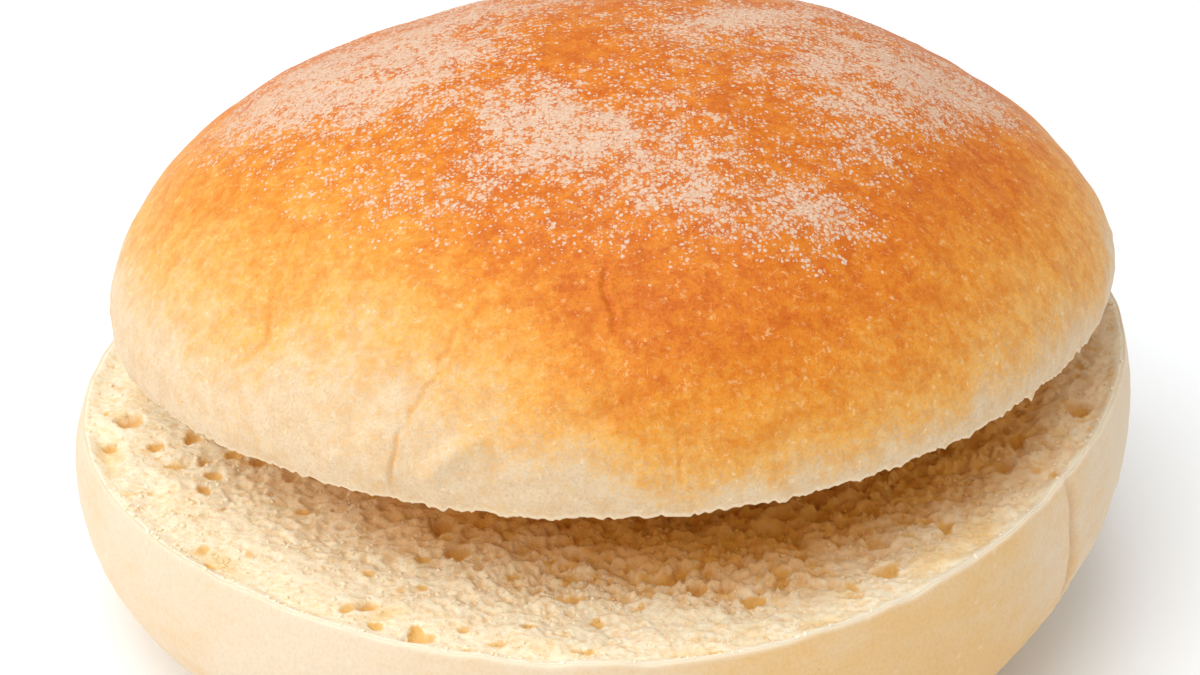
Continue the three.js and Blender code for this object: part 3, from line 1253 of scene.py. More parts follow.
@dataclass(frozen=True)
class Heel(CutHalf):
    """The bottom half: a pale crust round cut crumb, with a flat base.

    Attributes:
        outline: Its plan outline.
        tuck: Share by which the crust draws in from the widest to the cut.
        cut: Height of the cut.
        cut_slope: How steeply the cut climbs to the right.
        cut_warp: How far the knife wavered.
        shoulder: From the widest point up to the cut.
        base_share: Where the flank would meet the table, as a share of the radius.
        flank_across: Superellipse exponent of the flank across.
        flank_down: The same downwards.
        foot_height: Height of the rounding at the foot, as a share of the widest point's height.
        foot: Share of the way from the base's middle to the rim at which the flank begins.
        widest: Share of that way at which the flank is widest.
        crust_rings: Sets the vertices on each ring of the crust, six for each.
        shoulder_rings: Rings of the crust from the cut to the widest point.
        flank_rings: Rings from there to the foot.
        foot_rings: Rings round the foot.
        crumb_rings: Rings of the crumb's mesh.
        skin: Fine relief of the crust.
        crumb: Relief of the crumb.
        edge: The crust's cut edge.
        tear: The torn crumb at the back.
        creases: Where the skin split or folded.
        crumb_seed: Picks the pores.
    """

    outline: Outline = Outline(57.3, 0.042, 0.044)
    tuck: float = 0.012
    cut: float = 27.3
    cut_slope: float = 0.052
    cut_warp: float = 0.35
    shoulder: float = 5.0
    base_share: float = 0.74
    flank_across: float = 2.08
    flank_down: float = 2.7
    foot_height: float = 0.2
    foot: float = 0.56
    widest: float = 1 - 2 / 23
    crust_rings: int = 150
    shoulder_rings: int = 16
    flank_rings: int = 62
    foot_rings: int = 8
    crumb_rings: int = 170
    skin: CrustSkin = CrustSkin(dimple=(7.0, 0.16), wrinkle=(2.2, 0.05), blisters=300)
    crumb: Crumb = Crumb()
    edge: CutEdge = CutEdge()
    tear: Tear = Tear()
    creases: tuple[Crease, ...] = (
        Crease(((331, 1.0), (331.6, 0.8), (333, 0.55), (333, 0.35)), 0.7, 0.8, 0.3, 0.4),
        Crease(((109, 1.0), (106, 0.7), (104, 0.45)), 0.2, 0.5, 0.05),
    )
    crumb_seed: int = 29

    @property
    def base_edge(self) -> float:
        """Share of the way from the base's middle to the rim at which the flat base ends."""
        return 0.8 * self.foot

    def cut_height(self, x: Array, angle: Array, share: Array) -> Array:
        """Returns the height of the cut, whose rim dips and rises where the knife wavered."""
        return self.cut + self.cut_slope * x - self.cut_warp * np.sin(3 * angle) * share**2

    def sliced(self, angle: Array) -> Array:
        """Returns how cleanly the knife sliced the rim: it is soft and torn at the left and the back."""
        return smoothstep(-np.sin(angle - radians(20)), 0.1, 0.75)

    def flank(self, up: Array) -> Array:
        """Returns the share of the radius at shares of the height from the table to the widest point."""
        depth = (1 - self.base_share**self.flank_across) ** (1 / self.flank_down)
        return (1 - ((1 - up) * depth) ** self.flank_down) ** (1 / self.flank_across)

    def profile(self, share: Array) -> tuple[Array, Array, Array]:
        """Follows the crust from the middle of the base to the rim.

        Args:
            share: Share of the way.

        Returns:
            Share of the radius, share of the widest point's height, and share of the rest up to the rim.
        """
        under = np.maximum(0, (share - self.widest) / (1 - self.widest))
        foot_reach = self.flank(self.foot_height)
        slope = (self.flank(self.foot_height + 0.01) - foot_reach) / 0.01
        turn = foot_reach - slope * self.foot_height
        flat = 2 * turn - foot_reach
        t = np.clip((share / self.foot - 0.8) / 0.2, 0, 1)
        curve = flat * (1 - t) ** 2 + turn * 2 * t * (1 - t) + foot_reach * t**2
        low = np.where(t > 0, curve, flat * share / (0.8 * self.foot))
        rise = np.clip((share - self.foot) / (self.widest - self.foot), 0, 1)
        up = np.where(share < self.foot, self.foot_height * t**2, self.foot_height + 0.8 * rise)
        reach = np.where(share < self.foot, low, self.flank(np.minimum(1, up)))
        return reach, up, under

    def smooth_crust(self, share: Array, angle: Array) -> tuple[Array, Array, Array]:
        """Finds points of the crust before any relief.

        Args:
            share: Share of the way from the middle of the base to the rim.
            angle: Angle round from +X.

        Returns:
            The points, and the second and third number of the profile.
        """
        reach, up, under = self.profile(share)
        outer = self.outline.reach(angle)
        rim = self.cut_height(outer * np.cos(angle), angle, 1.0)
        radius = outer * reach * (1 - self.tuck * under**2)
        height = (rim - self.shoulder) * up + self.shoulder * under
        return np.stack([radius * np.cos(angle), radius * np.sin(angle), height], 1), up, under

    def on_crust(self, angle: Array, up: Array) -> Array:
        """Finds points of the smooth crust.

        Args:
            angle: Angle round from +X, in radians.
            up: Share of the way up to the rim.

        Returns:
            The points.
        """
        outer = self.outline.reach(angle)
        rim = self.cut_height(outer * np.cos(angle), angle, 1.0)
        height = up * rim
        under = np.clip((height - rim + self.shoulder) / self.shoulder, 0, 1)
        radius = outer * self.flank(np.clip(height / (rim - self.shoulder), 0, 1))
        radius = radius * (1 - self.tuck * under**2)
        return np.stack([radius * np.cos(angle), radius * np.sin(angle), height], 1)

    def ring_shares(self) -> Array:
        """Returns where the crust's rings lie, as shares of the way from the base's middle to the rim."""
        shoulder = np.linspace(1, self.widest, self.shoulder_rings + 1)[:-1]
        flank = np.linspace(self.widest, self.foot, self.flank_rings + 1)[:-1]
        return np.concatenate([shoulder, flank, np.linspace(self.foot, self.base_edge, self.foot_rings)])

    def build_crust(self) -> bpy.types.Mesh:
        """Shapes the crust as a closed solid with a hollow for the crumb.

        Returns:
            The mesh.
        """
        rings = Disc(self.crust_rings, front=0.25)
        turn = rings.angles(rings.rings)
        stops = self.ring_shares()
        share, angle = np.repeat(stops, len(turn)), np.tile(turn, len(stops))
        smooth, up, under = self.smooth_crust(share, angle)
        relief = self.skin.relief(smooth, 29) * (1 - under)
        groove = self.fold(smooth, relief, 1.0)
        relief *= smoothstep(up, 0.15, 0.5)
        points = smooth + relief[:, None] * np.stack([np.cos(angle), np.sin(angle), 0 * angle], 1)
        points[:, 2] += under * rim_chip(points[:, 0], points[:, 1])
        patchy = rough_noise(points[:, 0] / 16, points[:, 1] / 16, points[:, 2] / 9 + 2.5, 3)
        right = 0.5 + 0.5 * np.cos(angle - radians(300))
        baked = 0.12 + 0.72 * right**12 + 0.3 * (1 - smoothstep(up, 0.25, 0.65)) + 0.2 * patchy
        marks = {
            "brown": np.clip(baked, 0, 1),
            "groove": groove,
            "cut": smoothstep(under, 0.9, 1) * (0.3 + 0.7 * self.sliced(angle)),
        }
        skin = Skin()
        count = len(turn)
        ring = first = skin.add_points(
            points[:count],
            Chart.MAIN.lay_out(np.full(count, 0.93), turn),
            {name: values[:count] for name, values in marks.items()},
        )
        for loop in range(1, len(stops)):
            some = slice(loop * count, (loop + 1) * count)
            chart = Chart.MAIN.lay_out(np.full(count, 0.93 - 0.65 * loop / (len(stops) - 1)), turn)
            mark = {name: values[some] for name, values in marks.items()}
            ring = skin.add_loop(points[some], chart, ring, False, mark)
        base = Disc(self.crust_rings // 5, front=rings.front)
        share, turn = base.places()
        flat, _, _ = self.smooth_crust(share * self.base_edge * 0.97, turn)
        coarse = skin.add_disc(base, flat, Chart.MAIN.lay_out(share * 0.27, turn), True)
        skin.thin_out(ring, coarse, 6 * base.rings, 5, False)
        self.close_crust(skin, first, rings, points[:count])
        skin.points = [some + CENTRE_SHIFT for some in skin.points]
        return skin.to_mesh("heel_crust")

    def close_crust(self, skin: Skin, ring: int, rings: Disc, rim: Array) -> None:
        """Turns the crust in at the cut and closes it behind the crumb.

        Args:
            skin: The piece.
            ring: First vertex of the rim.
            rings: The disc whose rim the vertices go round.
            rim: Points of the rim.
        """
        angle = rings.angles(rings.rings)
        width = self.edge.width(angle, self.outline.radius)
        outer = np.hypot(rim[:, 0], rim[:, 1])
        for step, (inward, sunk) in enumerate(self.edge.steps()):
            radius = outer - inward * width
            x, y = radius * np.cos(angle), radius * np.sin(angle)
            z = self.cut_height(x, angle, radius / outer) + rim_chip(x, y) - sunk
            rags = self.edge.rags(x, y) * smoothstep(inward, 0, 0.1) * (1 - smoothstep(inward, 0.2, 0.5))
            z += rags * self.sliced(angle)
            chart = Chart.MAIN.lay_out(np.full(len(angle), 0.942 + 0.008 * step), angle)
            mark = {"cut": 0.3 + 0.7 * self.sliced(angle), "brown": 0 * angle}
            ring = skin.add_loop(np.stack([x, y, z], 1), chart, ring, True, mark)
        cap = Disc(self.crust_rings // 5, front=rings.front)
        share, turn, x, y = self.hidden_places(cap, self.edge.hidden_share)
        low = self.cut_height(x, turn, share) - self.edge.depth
        skin.close(ring, cap, np.stack([x, y, low], 1), 5, True)

    def build_crumb(self, crown: Crown) -> bpy.types.Mesh:
        """Shapes the cut crumb as a slab that fills the hollow in the crust.

        Args:
            crown: The top half, which rests on the torn part.

        Returns:
            The mesh.
        """
        disc = Disc(self.crumb_rings, 0.8, 0.25)
        share, angle, radius = self.crumb_places(disc)
        x, y = radius * np.cos(angle), radius * np.sin(angle)
        chip = rim_chip(x, y) * smoothstep(share, 1 - self.crumb.rim_band, 1)
        flat = self.cut_height(x, angle, share) + chip
        carried = crown.face_height(x, y) - self.tear.gap
        torn = self.tear.share(x, y, share)
        smooth = np.minimum(flat + torn * (carried - flat), carried)
        depth, hollow = self.crumb.depth(self.outline.radius, self.crumb_seed, x, y, share)
        z = smooth - depth * (1 - 0.6 * torn) + 0.02 * smoothstep(share, 0.96, 0.98)
        skin = Skin()
        chart = Chart.MAIN.lay_out(disc.places()[0] * 0.97, angle)
        front = 0.25 + 0.75 * smoothstep(-np.sin(angle), -0.3, 0.7)
        patchy = smoothstep(rough_noise(x / 3.5, y / 3.5, 51.5, 2), -0.5, 0.6)
        loose = front * (0.2 + 0.8 * patchy) * (1 - 0.8 * hollow) * smoothstep(share, 0.42, 0.5)
        ragged = share + 0.03 * rough_noise(x / 4, y / 4, 61.5, 2)
        band = smoothstep(ragged, 0.86, 0.92) * (1 - smoothstep(ragged, 0.955, 0.975))
        # Painted shade: the crumb turns amber far into the mouth under the top half, and further out at the
        # right, where less light falls.
        right = np.cos(angle)
        inner = ragged - 0.17 * smoothstep(right, -0.2, 0.6) - 0.1 * smoothstep(right, 0.6, 0.95)
        edge = share + 0.008 * rough_noise(x / 1.5, y / 1.5, 81.5, 2)
        marks = {
            "hollow": hollow,
            "loose": loose,
            "deep": 1 - smoothstep(inner, 0.5, 0.8),
            "edge": self.sliced(angle) * smoothstep(edge, 0.972, 0.988),
            "ochre": band * smoothstep(rough_noise(x / 7, y / 7, 71.5, 3), -0.2, 0.7),
        }
        ring = skin.add_disc(disc, np.stack([x, y, z], 1), chart, False, marks)
        cap = Disc(self.crumb_rings // 5, front=disc.front)
        share, turn, x, y = self.hidden_places(cap, self.crumb.hidden_share)
        low = self.cut_height(x, turn, share) - self.crumb.thickness
        skin.close(ring, cap, np.stack([x, y, low], 1), 5, False)
        skin.points = [some + CENTRE_SHIFT for some in skin.points]
        return skin.to_mesh("heel_crumb")


# Node trees


class Wire:
    """A value on its way through a node tree; operators on it add the nodes that work them out."""

    def __init__(self, tree: Tree, socket: bpy.types.NodeSocket) -> None:
        """Keeps the tree and the socket that the value comes from."""
        self.tree = tree
        self.socket = socket

    def _sum(self, operation: str, *values: Wire | float) -> Wire:
        """Adds a Math node and returns what comes out."""
        sockets = dict(zip(("Value", "Value_001"), values))
        return self.tree.node("ShaderNodeMath", {"operation": operation}, sockets)

    def __add__(self, other: Wire | float) -> Wire:
        """Adds two values."""
        return self._sum("ADD", self, other)

    def __radd__(self, other: Wire | float) -> Wire:
        """Adds the value to a number."""
        return self._sum("ADD", other, self)

    def __sub__(self, other: Wire | float) -> Wire:
        """Takes a value away."""
        return self._sum("SUBTRACT", self, other)

    def __rsub__(self, other: Wire | float) -> Wire:
        """Takes the value away from a number."""
        return self._sum("SUBTRACT", other, self)

    def __mul__(self, other: Wire | float) -> Wire:
        """Multiplies two values."""
        return self._sum("MULTIPLY", self, other)

    def __rmul__(self, other: Wire | float) -> Wire:
        """Multiplies a number by the value."""
        return self._sum("MULTIPLY", other, self)

    def __pow__(self, other: Wire | float) -> Wire:
        """Raises the value to a power."""
        return self._sum("POWER", self, other)

    def __gt__(self, other: Wire | float) -> Wire:
        """Gives 1 where the value is larger, or else 0."""
        return self._sum("GREATER_THAN", self, other)

    def most(self, other: Wire | float) -> Wire:
        """Returns the larger of two values."""
        return self._sum("MAXIMUM", self, other)

    def eased(self, low: Wire | float, high: Wire | float) -> Wire:
        """Eases the value from 0 at low to 1 at high."""
        sockets = {"Value": self, "From Min": low, "From Max": high}
        return self.tree.node("ShaderNodeMapRange", {"interpolation_type": "SMOOTHSTEP"}, sockets)


class Tree:
    """Builds the nodes of one material or one modifier."""

    def __init__(self, nodes: bpy.types.NodeTree) -> None:
        """Keeps the tree that the nodes go in."""
        self.nodes = nodes

    def node(
        self,
        kind: str,
        settings: dict[str, object] | None = None,
        sockets: dict[str, object] | None = None,
        output: str | None = None,
    ) -> Wire:
        """Adds a node.

        Args:
            kind: The node's type.
            settings: Its settings, set before its sockets; "stops" holds a ramp's places and colours.
            sockets: Values or wires by socket identifier.
            output: Identifier of the socket to go on from; the first one in use if it isn't given.

        Returns:
            The value that comes out.
        """
        made = self.nodes.nodes.new(kind)
        for name, value in (settings or {}).items():
            if name == "stops":
                self.set_stops(made.color_ramp, value)
            else:
                setattr(made, name, value)
        for name, value in (sockets or {}).items():
            socket = next(s for s in made.inputs if s.identifier == name)
            if isinstance(value, Wire):
                self.nodes.links.new(value.socket, socket)
            else:
                socket.default_value = value
        for socket in made.outputs:
            if socket.identifier == output or (output is None and socket.enabled):
                return Wire(self, socket)
        return Wire(self, None)

    @staticmethod
    def set_stops(ramp: bpy.types.ColorRamp, stops: Sequence[tuple[float, Colour]]) -> None:
        """Sets a ramp's places and colours.

        Args:
            ramp: The ramp.
            stops: Each place, from 0 to 1, and its colour.
        """
        while len(ramp.elements) < len(stops):
            ramp.elements.new(1.0)
        for element, (position, colour) in zip(ramp.elements, stops):
            element.position = position
            element.color = colour

    def mix(self, share: Wire | float, first: Wire | Colour, second: Wire | Colour, how: str = "MIX") -> Wire:
        """Mixes two colours.

        Args:
            share: Share of the second.
            first: The first colour.
            second: The second colour.
            how: Blend mode.

        Returns:
            The mixed colour.
        """
        sockets = {"Factor_Float": share, "A_Color": first, "B_Color": second}
        return self.node("ShaderNodeMix", {"data_type": "RGBA", "blend_type": how}, sockets, "Result_Color")

    def place(self) -> Wire:
        """Returns the place on the object, in metres."""
        return self.node("ShaderNodeTexCoord", output="Object")

    def mark(self, name: str) -> Wire:
        """Returns a number that is kept with the vertices."""
        return self.node("ShaderNodeAttribute", {"attribute_name": name}, output="Fac")

    def noise(self, size: float, detail: float = 2.0, roughness: float = 0.5, stretch: float = 1.0) -> Wire:
        """Adds noise.

        Args:
            size: Distance over which it changes, in millimetres.
            detail: Finer layers on top of the broadest.
            roughness: Strength of each finer layer.
            stretch: How much longer it is upwards.

        Returns:
            The noise, from 0 to 1.
        """
        scale = (1.0, 1.0, 1.0 / stretch)
        place = self.node("ShaderNodeMapping", None, {"Vector": self.place(), "Scale": scale})
        sockets = {"Vector": place, "Scale": 1 / (size * MM), "Detail": detail, "Roughness": roughness}
        return self.node("ShaderNodeTexNoise", None, sockets, "Fac")

    def spots(self, spacing: float, radius: float, share: float, place: Wire | None = None) -> Wire:
        """Returns round spots, 1 in their middles.

        Args:
            spacing: Distance between places where a spot may be, in millimetres.
            radius: Radius of a spot.
            share: Share of the places that have one.
            place: Where they are looked up, if not at the place on the object.

        Returns:
            A mask from 0 to 1.
        """
        cell, draw = self.scattered(place or self.place(), spacing)
        near = 1 - cell.eased(0.4 * radius / spacing, radius / spacing)
        return near * (draw > 1 - share)

    def scattered(self, place: Wire, spacing: float) -> tuple[Wire, Wire]:
        """Scatters points.

        Args:
            place: Where they are looked up.
            spacing: Distance between them, in millimetres.

        Returns:
            The distance to the nearest point, and a random number that goes with that point.
        """
        sockets = {"Vector": place, "Scale": 1 / (spacing * MM)}
        distance = self.node("ShaderNodeTexVoronoi", None, sockets, "Distance")
        colour = Wire(self, distance.socket.node.outputs["Color"])
        return distance, self.node("ShaderNodeSeparateColor", None, {"Color": colour}, "Red")

    def strayed(self, size: float, far: float) -> Wire:
        """Moves the place on the object about.

        Args:
            size: Distance over which it wanders, in millimetres.
            far: How far it wanders at most, as a share of that.

        Returns:
            The place.
        """
        sockets = {"Vector": self.place(), "Scale": 1 / (size * MM), "Detail": 1.0}
        stray = self.node("ShaderNodeTexNoise", None, sockets, "Color")
        return self.node(
            "ShaderNodeVectorMath",
            {"operation": "MULTIPLY_ADD"},
            {"Vector": stray, "Vector_001": (far * size * MM,) * 3, "Vector_002": self.place()},
        )

    def walls(self, size: float) -> Wire:
        """Returns the walls between bubbles of about size millimetres, 0 in the bubbles' middles."""
        return self.scattered(self.strayed(size, 1.2), size)[0]

    def grains(self, size: float, amount: Wire) -> Wire:
        """Returns grains of about size millimetres, 1 on them, that lie closer where there is more.

        Args:
            size: Distance between grains that lie close.
            amount: How much lies there, from 0 to 1.

        Returns:
            A mask from 0 to 1.
        """
        cell, draw = self.scattered(self.strayed(size, 0.9), size)
        reach = 0.24 + 0.34 * amount
        return (1 - cell.eased(reach, reach + 0.2)) * (draw > 1 - amount)

    def fibres(self, size: float, width: float) -> Wire:
        """Returns short fine lines, 1 along them.

        Args:
            size: Distance between lines, in millimetres.
            width: Width of a line as a share of that distance.

        Returns:
            A mask from 0 to 1.
        """
        sockets = {"Vector": self.strayed(1.6 * size, 0.9), "Scale": 1 / (size * MM)}
        edge = self.node("ShaderNodeTexVoronoi", {"feature": "DISTANCE_TO_EDGE"}, sockets, "Distance")
        broken = self.noise(0.75 * size, 1).eased(0.57, 0.67)
        return (1 - edge.eased(0.0, width)) * broken

    def surface(
        self, colour: Wire, roughness: Wire | float, relief: Wire, height: float, **more: object
    ) -> None:
        """Ends a material with one bumped Principled shader.

        Args:
            colour: Base colour.
            roughness: Roughness.
            relief: Heights from 0 to 1 of the finest relief.
            height: What a height of 1 measures, in millimetres.
            **more: Other socket values, by identifier with spaces as underscores.
        """
        sockets = {"Height": relief, "Distance": height * MM, "Strength": 1.0}
        normal = self.node("ShaderNodeBump", None, sockets)
        values = {"Base Color": colour, "Roughness": roughness, "Normal": normal}
        values |= {name.replace("_", " "): value for name, value in more.items()}
        shader = self.node("ShaderNodeBsdfPrincipled", None, values)
        self.node("ShaderNodeOutputMaterial", None, {"Surface": shader})


class Finish:
    """A material of the roll."""

    name: str

    def make(self) -> bpy.types.Material:
        """Returns the material with its nodes built."""
        material = bpy.data.materials.new(self.name)
        material.use_nodes = True
        material.node_tree.nodes.clear()
        self.paint(Tree(material.node_tree))
        return material

    def paint(self, tree: Tree) -> None:
        """Builds the nodes."""
        raise NotImplementedError


@dataclass(frozen=True)
class GoldenCrust(Finish):
    """Baked crust, cream at the rim to orange brown on top, with a film of flour.

    Attributes:
        name: The material's name.
        stops: Colours of the bake from pale to brown.
        film: Colour of thin flour.
        cut: Colour of the crust where it was cut.
    """

    name: str = "golden crust"
    stops: tuple[tuple[float, Colour], ...] = (
        (0.0, srgb(224, 200, 166)),
        (0.13, srgb(228, 190, 137)),
        (0.34, srgb(234, 177, 94)),
        (0.6, srgb(231, 156, 58)),
        (0.82, srgb(226, 140, 38)),
        (1.0, srgb(217, 123, 26)),
    )
    film: Colour = srgb(222, 199, 176)
    cut: Colour = srgb(240, 218, 186)

    def paint(self, tree: Tree) -> None:
        """Builds the nodes."""
        grain = tree.noise(0.32, 2, 0.6)
        fine = tree.noise(1.0, 3, 0.7)
        broad = tree.noise(7, 3, 0.55)
        flecks = tree.noise(0.85, 3, 0.7).eased(0.58, 0.7) * tree.noise(3.4, 2).eased(0.4, 0.62)
        flecks = flecks.most(0.5 * tree.spots(1.35, 0.36, 0.25))
        baked = tree.mark("brown")
        vary = 0.4 + 0.7 * baked
        brown = baked + 0.25 * (broad - 0.5) + vary * (1.05 * (fine - 0.5) + 1.25 * (grain - 0.5))
        # Painted shade: the crust is painted browner in the grooves.
        brown = brown - 0.1 * flecks + 0.25 * tree.mark("groove")
        colour = tree.node("ShaderNodeValToRGB", {"stops": self.stops}, {"Fac": brown}, "Color")
        pale = (0.24 * tree.fibres(1.3, 0.06)).most(0.42 * flecks)
        colour = tree.mix(pale, colour, srgb(252, 226, 180))
        mottle = 1 - tree.noise(2.4, 3, 0.7).eased(0.36, 0.6)
        colour = tree.mix(0.85 * vary * mottle, colour, srgb(238, 212, 178), "MULTIPLY")
        dark = 1 - grain.eased(0.32, 0.56)
        colour = tree.mix(0.95 * vary * dark, colour, srgb(232, 206, 170), "MULTIPLY")
        colour = tree.mix(0.55 * tree.spots(3.6, 0.17, 0.3), colour, srgb(160, 92, 36))
        # Painted shade: darker in the grooves.
        colour = tree.mix(0.4 * tree.mark("groove"), colour, srgb(230, 180, 120), "MULTIPLY")
        flour = tree.mark("flour")
        clumps = 1.9 * (tree.noise(2.1, 3, 0.65) - 0.5)
        amount = (flour + clumps) * flour.eased(0.0, 0.2)
        film = (0.9 * tree.grains(0.54, amount)).most(0.75 * tree.grains(0.34, 0.85 * amount))
        film = film.most(0.12 * amount.eased(0.2, 1.0)) * (0.6 + 0.7 * grain)
        # Painted shade: a warm dark ring round each flour grain, where its relief would shade.
        outline = 4 * film * (1 - film) * flour.eased(0.05, 0.3)
        colour = tree.mix(film, colour, self.film)
        colour = tree.mix(0.4 * outline, colour, srgb(226, 178, 128), "MULTIPLY")
        colour = tree.mix(tree.mark("cut"), colour, self.cut)
        roughness = 0.5 + 0.3 * film + 0.1 * (fine - 0.5)
        relief = 0.5 * fine + 0.35 * grain
        tree.surface(colour, roughness, relief, 0.15, Specular_IOR_Level=0.22)


@dataclass(frozen=True)
class PaleCrust(Finish):
    """Soft pale crust of the bottom half, matt.

    Attributes:
        name: The material's name.
        pale: Colour where it hardly baked.
        straw: Colour where it baked most.
        cut: Colour where it was cut.
    """

    name: str = "pale crust"
    pale: Colour = srgb(230, 209, 181)
    straw: Colour = srgb(229, 188, 128)
    cut: Colour = srgb(245, 229, 202)

    def paint(self, tree: Tree) -> None:
        """Builds the nodes."""
        fine = tree.noise(1.3, 4, 0.6)
        streaks = tree.noise(5, 4, 0.6, 0.45)
        brown = tree.mark("brown") + 0.7 * (streaks - 0.5) + 0.3 * (fine - 0.5)
        grain = tree.noise(0.4, 2, 0.6)
        colour = tree.mix(brown.eased(0.0, 0.9), self.pale, self.straw)
        dust = tree.spots(1.7, 0.5, 0.35, tree.strayed(0.8, 0.45))
        colour = tree.mix(0.22 * dust, colour, srgb(246, 229, 202))
        colour = tree.mix(0.4 * (1 - grain.eased(0.3, 0.6)), colour, srgb(242, 233, 218), "MULTIPLY")
        colour = tree.mix(0.5 * tree.spots(4.4, 0.17, 0.3), colour, srgb(180, 130, 76))
        # Painted shade: darker in the grooves.
        colour = tree.mix(0.5 * tree.mark("groove"), colour, srgb(230, 196, 150), "MULTIPLY")
        colour = tree.mix(0.85 * tree.mark("cut"), colour, self.cut)
        relief = 0.55 * fine + 0.35 * grain
        tree.surface(colour, 0.62, relief, 0.07, Specular_IOR_Level=0.35)


@dataclass(frozen=True)
class CutCrumb(Finish):
    """Open crumb, painted paler on its crags as if lit and darker ochre in its pores as shade.

    Attributes:
        name: The material's name.
        crag: Pale colour painted on what stands up, as if lit, and of the pale line along the cut rim.
        body: Colour between the two.
        stain: Colour of its darker patches.
        pore: Amber painted in the pores and hollows as their shade.
        deep: Amber painted as shade far into the mouth and on the shaded right.
        glow: How much of the light goes through it.
    """

    name: str = "crumb"
    crag: Colour = srgb(253, 240, 214)
    body: Colour = srgb(243, 214, 168)
    stain: Colour = srgb(240, 202, 128)
    pore: Colour = srgb(230, 182, 100)
    deep: Colour = srgb(223, 158, 54)
    glow: float = 0.35

    def paint(self, tree: Tree) -> None:
        """Builds the nodes."""
        fine = tree.noise(0.7, 3, 0.7)
        broad = tree.noise(6, 3, 0.6)
        walls = tree.walls(0.8)
        hollow = tree.mark("hollow")
        # Partly random tone, partly painted light: bubble walls and crags that stand up are painted paler, as
        # if lit.
        light = 0.6 * fine + 0.3 * broad + 0.45 * walls + 0.4 * (1 - hollow)
        colour = tree.mix(light.eased(0.72, 1.2), self.body, self.crag)
        stained = tree.noise(2.1, 3, 0.6).eased(0.58, 0.7)
        colour = tree.mix(0.4 * stained, colour, self.stain)
        colour = tree.mix(0.55 * tree.mark("ochre"), colour, self.stain)
        # Painted shade: pores and hollows are painted darker amber.
        colour = tree.mix(0.85 * hollow.eased(0.2, 0.9), colour, self.pore)
        # Painted shade: amber far into the mouth and on the shaded right.
        colour = tree.mix(0.92 * tree.mark("deep"), colour, self.deep)
        colour = tree.mix(0.8 * tree.mark("edge"), colour, self.crag)
        relief = 0.55 * fine + 0.25 * tree.noise(0.3, 2, 0.6) + 0.4 * walls
        tree.surface(
            colour,
            0.6,
            relief,
            0.15,
            Subsurface_Weight=self.glow,
            Subsurface_Radius=(1.0, 0.75, 0.5),
            Subsurface_Scale=1.0 * MM,
            Specular_IOR_Level=0.3,
        )


@dataclass(frozen=True)
class Flour(Finish):
    """Dusted flour, matt and a little warm from the crust beneath.

    Attributes:
        name: The material's name.
        colour: Its darker colour.
    """

    name: str = "flour"
    colour: Colour = srgb(216, 182, 156)

    def paint(self, tree: Tree) -> None:
        """Builds the nodes."""
        fine = tree.noise(0.4, 2)
        colour = tree.mix(fine, self.colour, srgb(228, 202, 182))
        tree.surface(colour, 0.9, fine, 0.05, Specular_IOR_Level=0.15)


# Scattered flour and crumbs


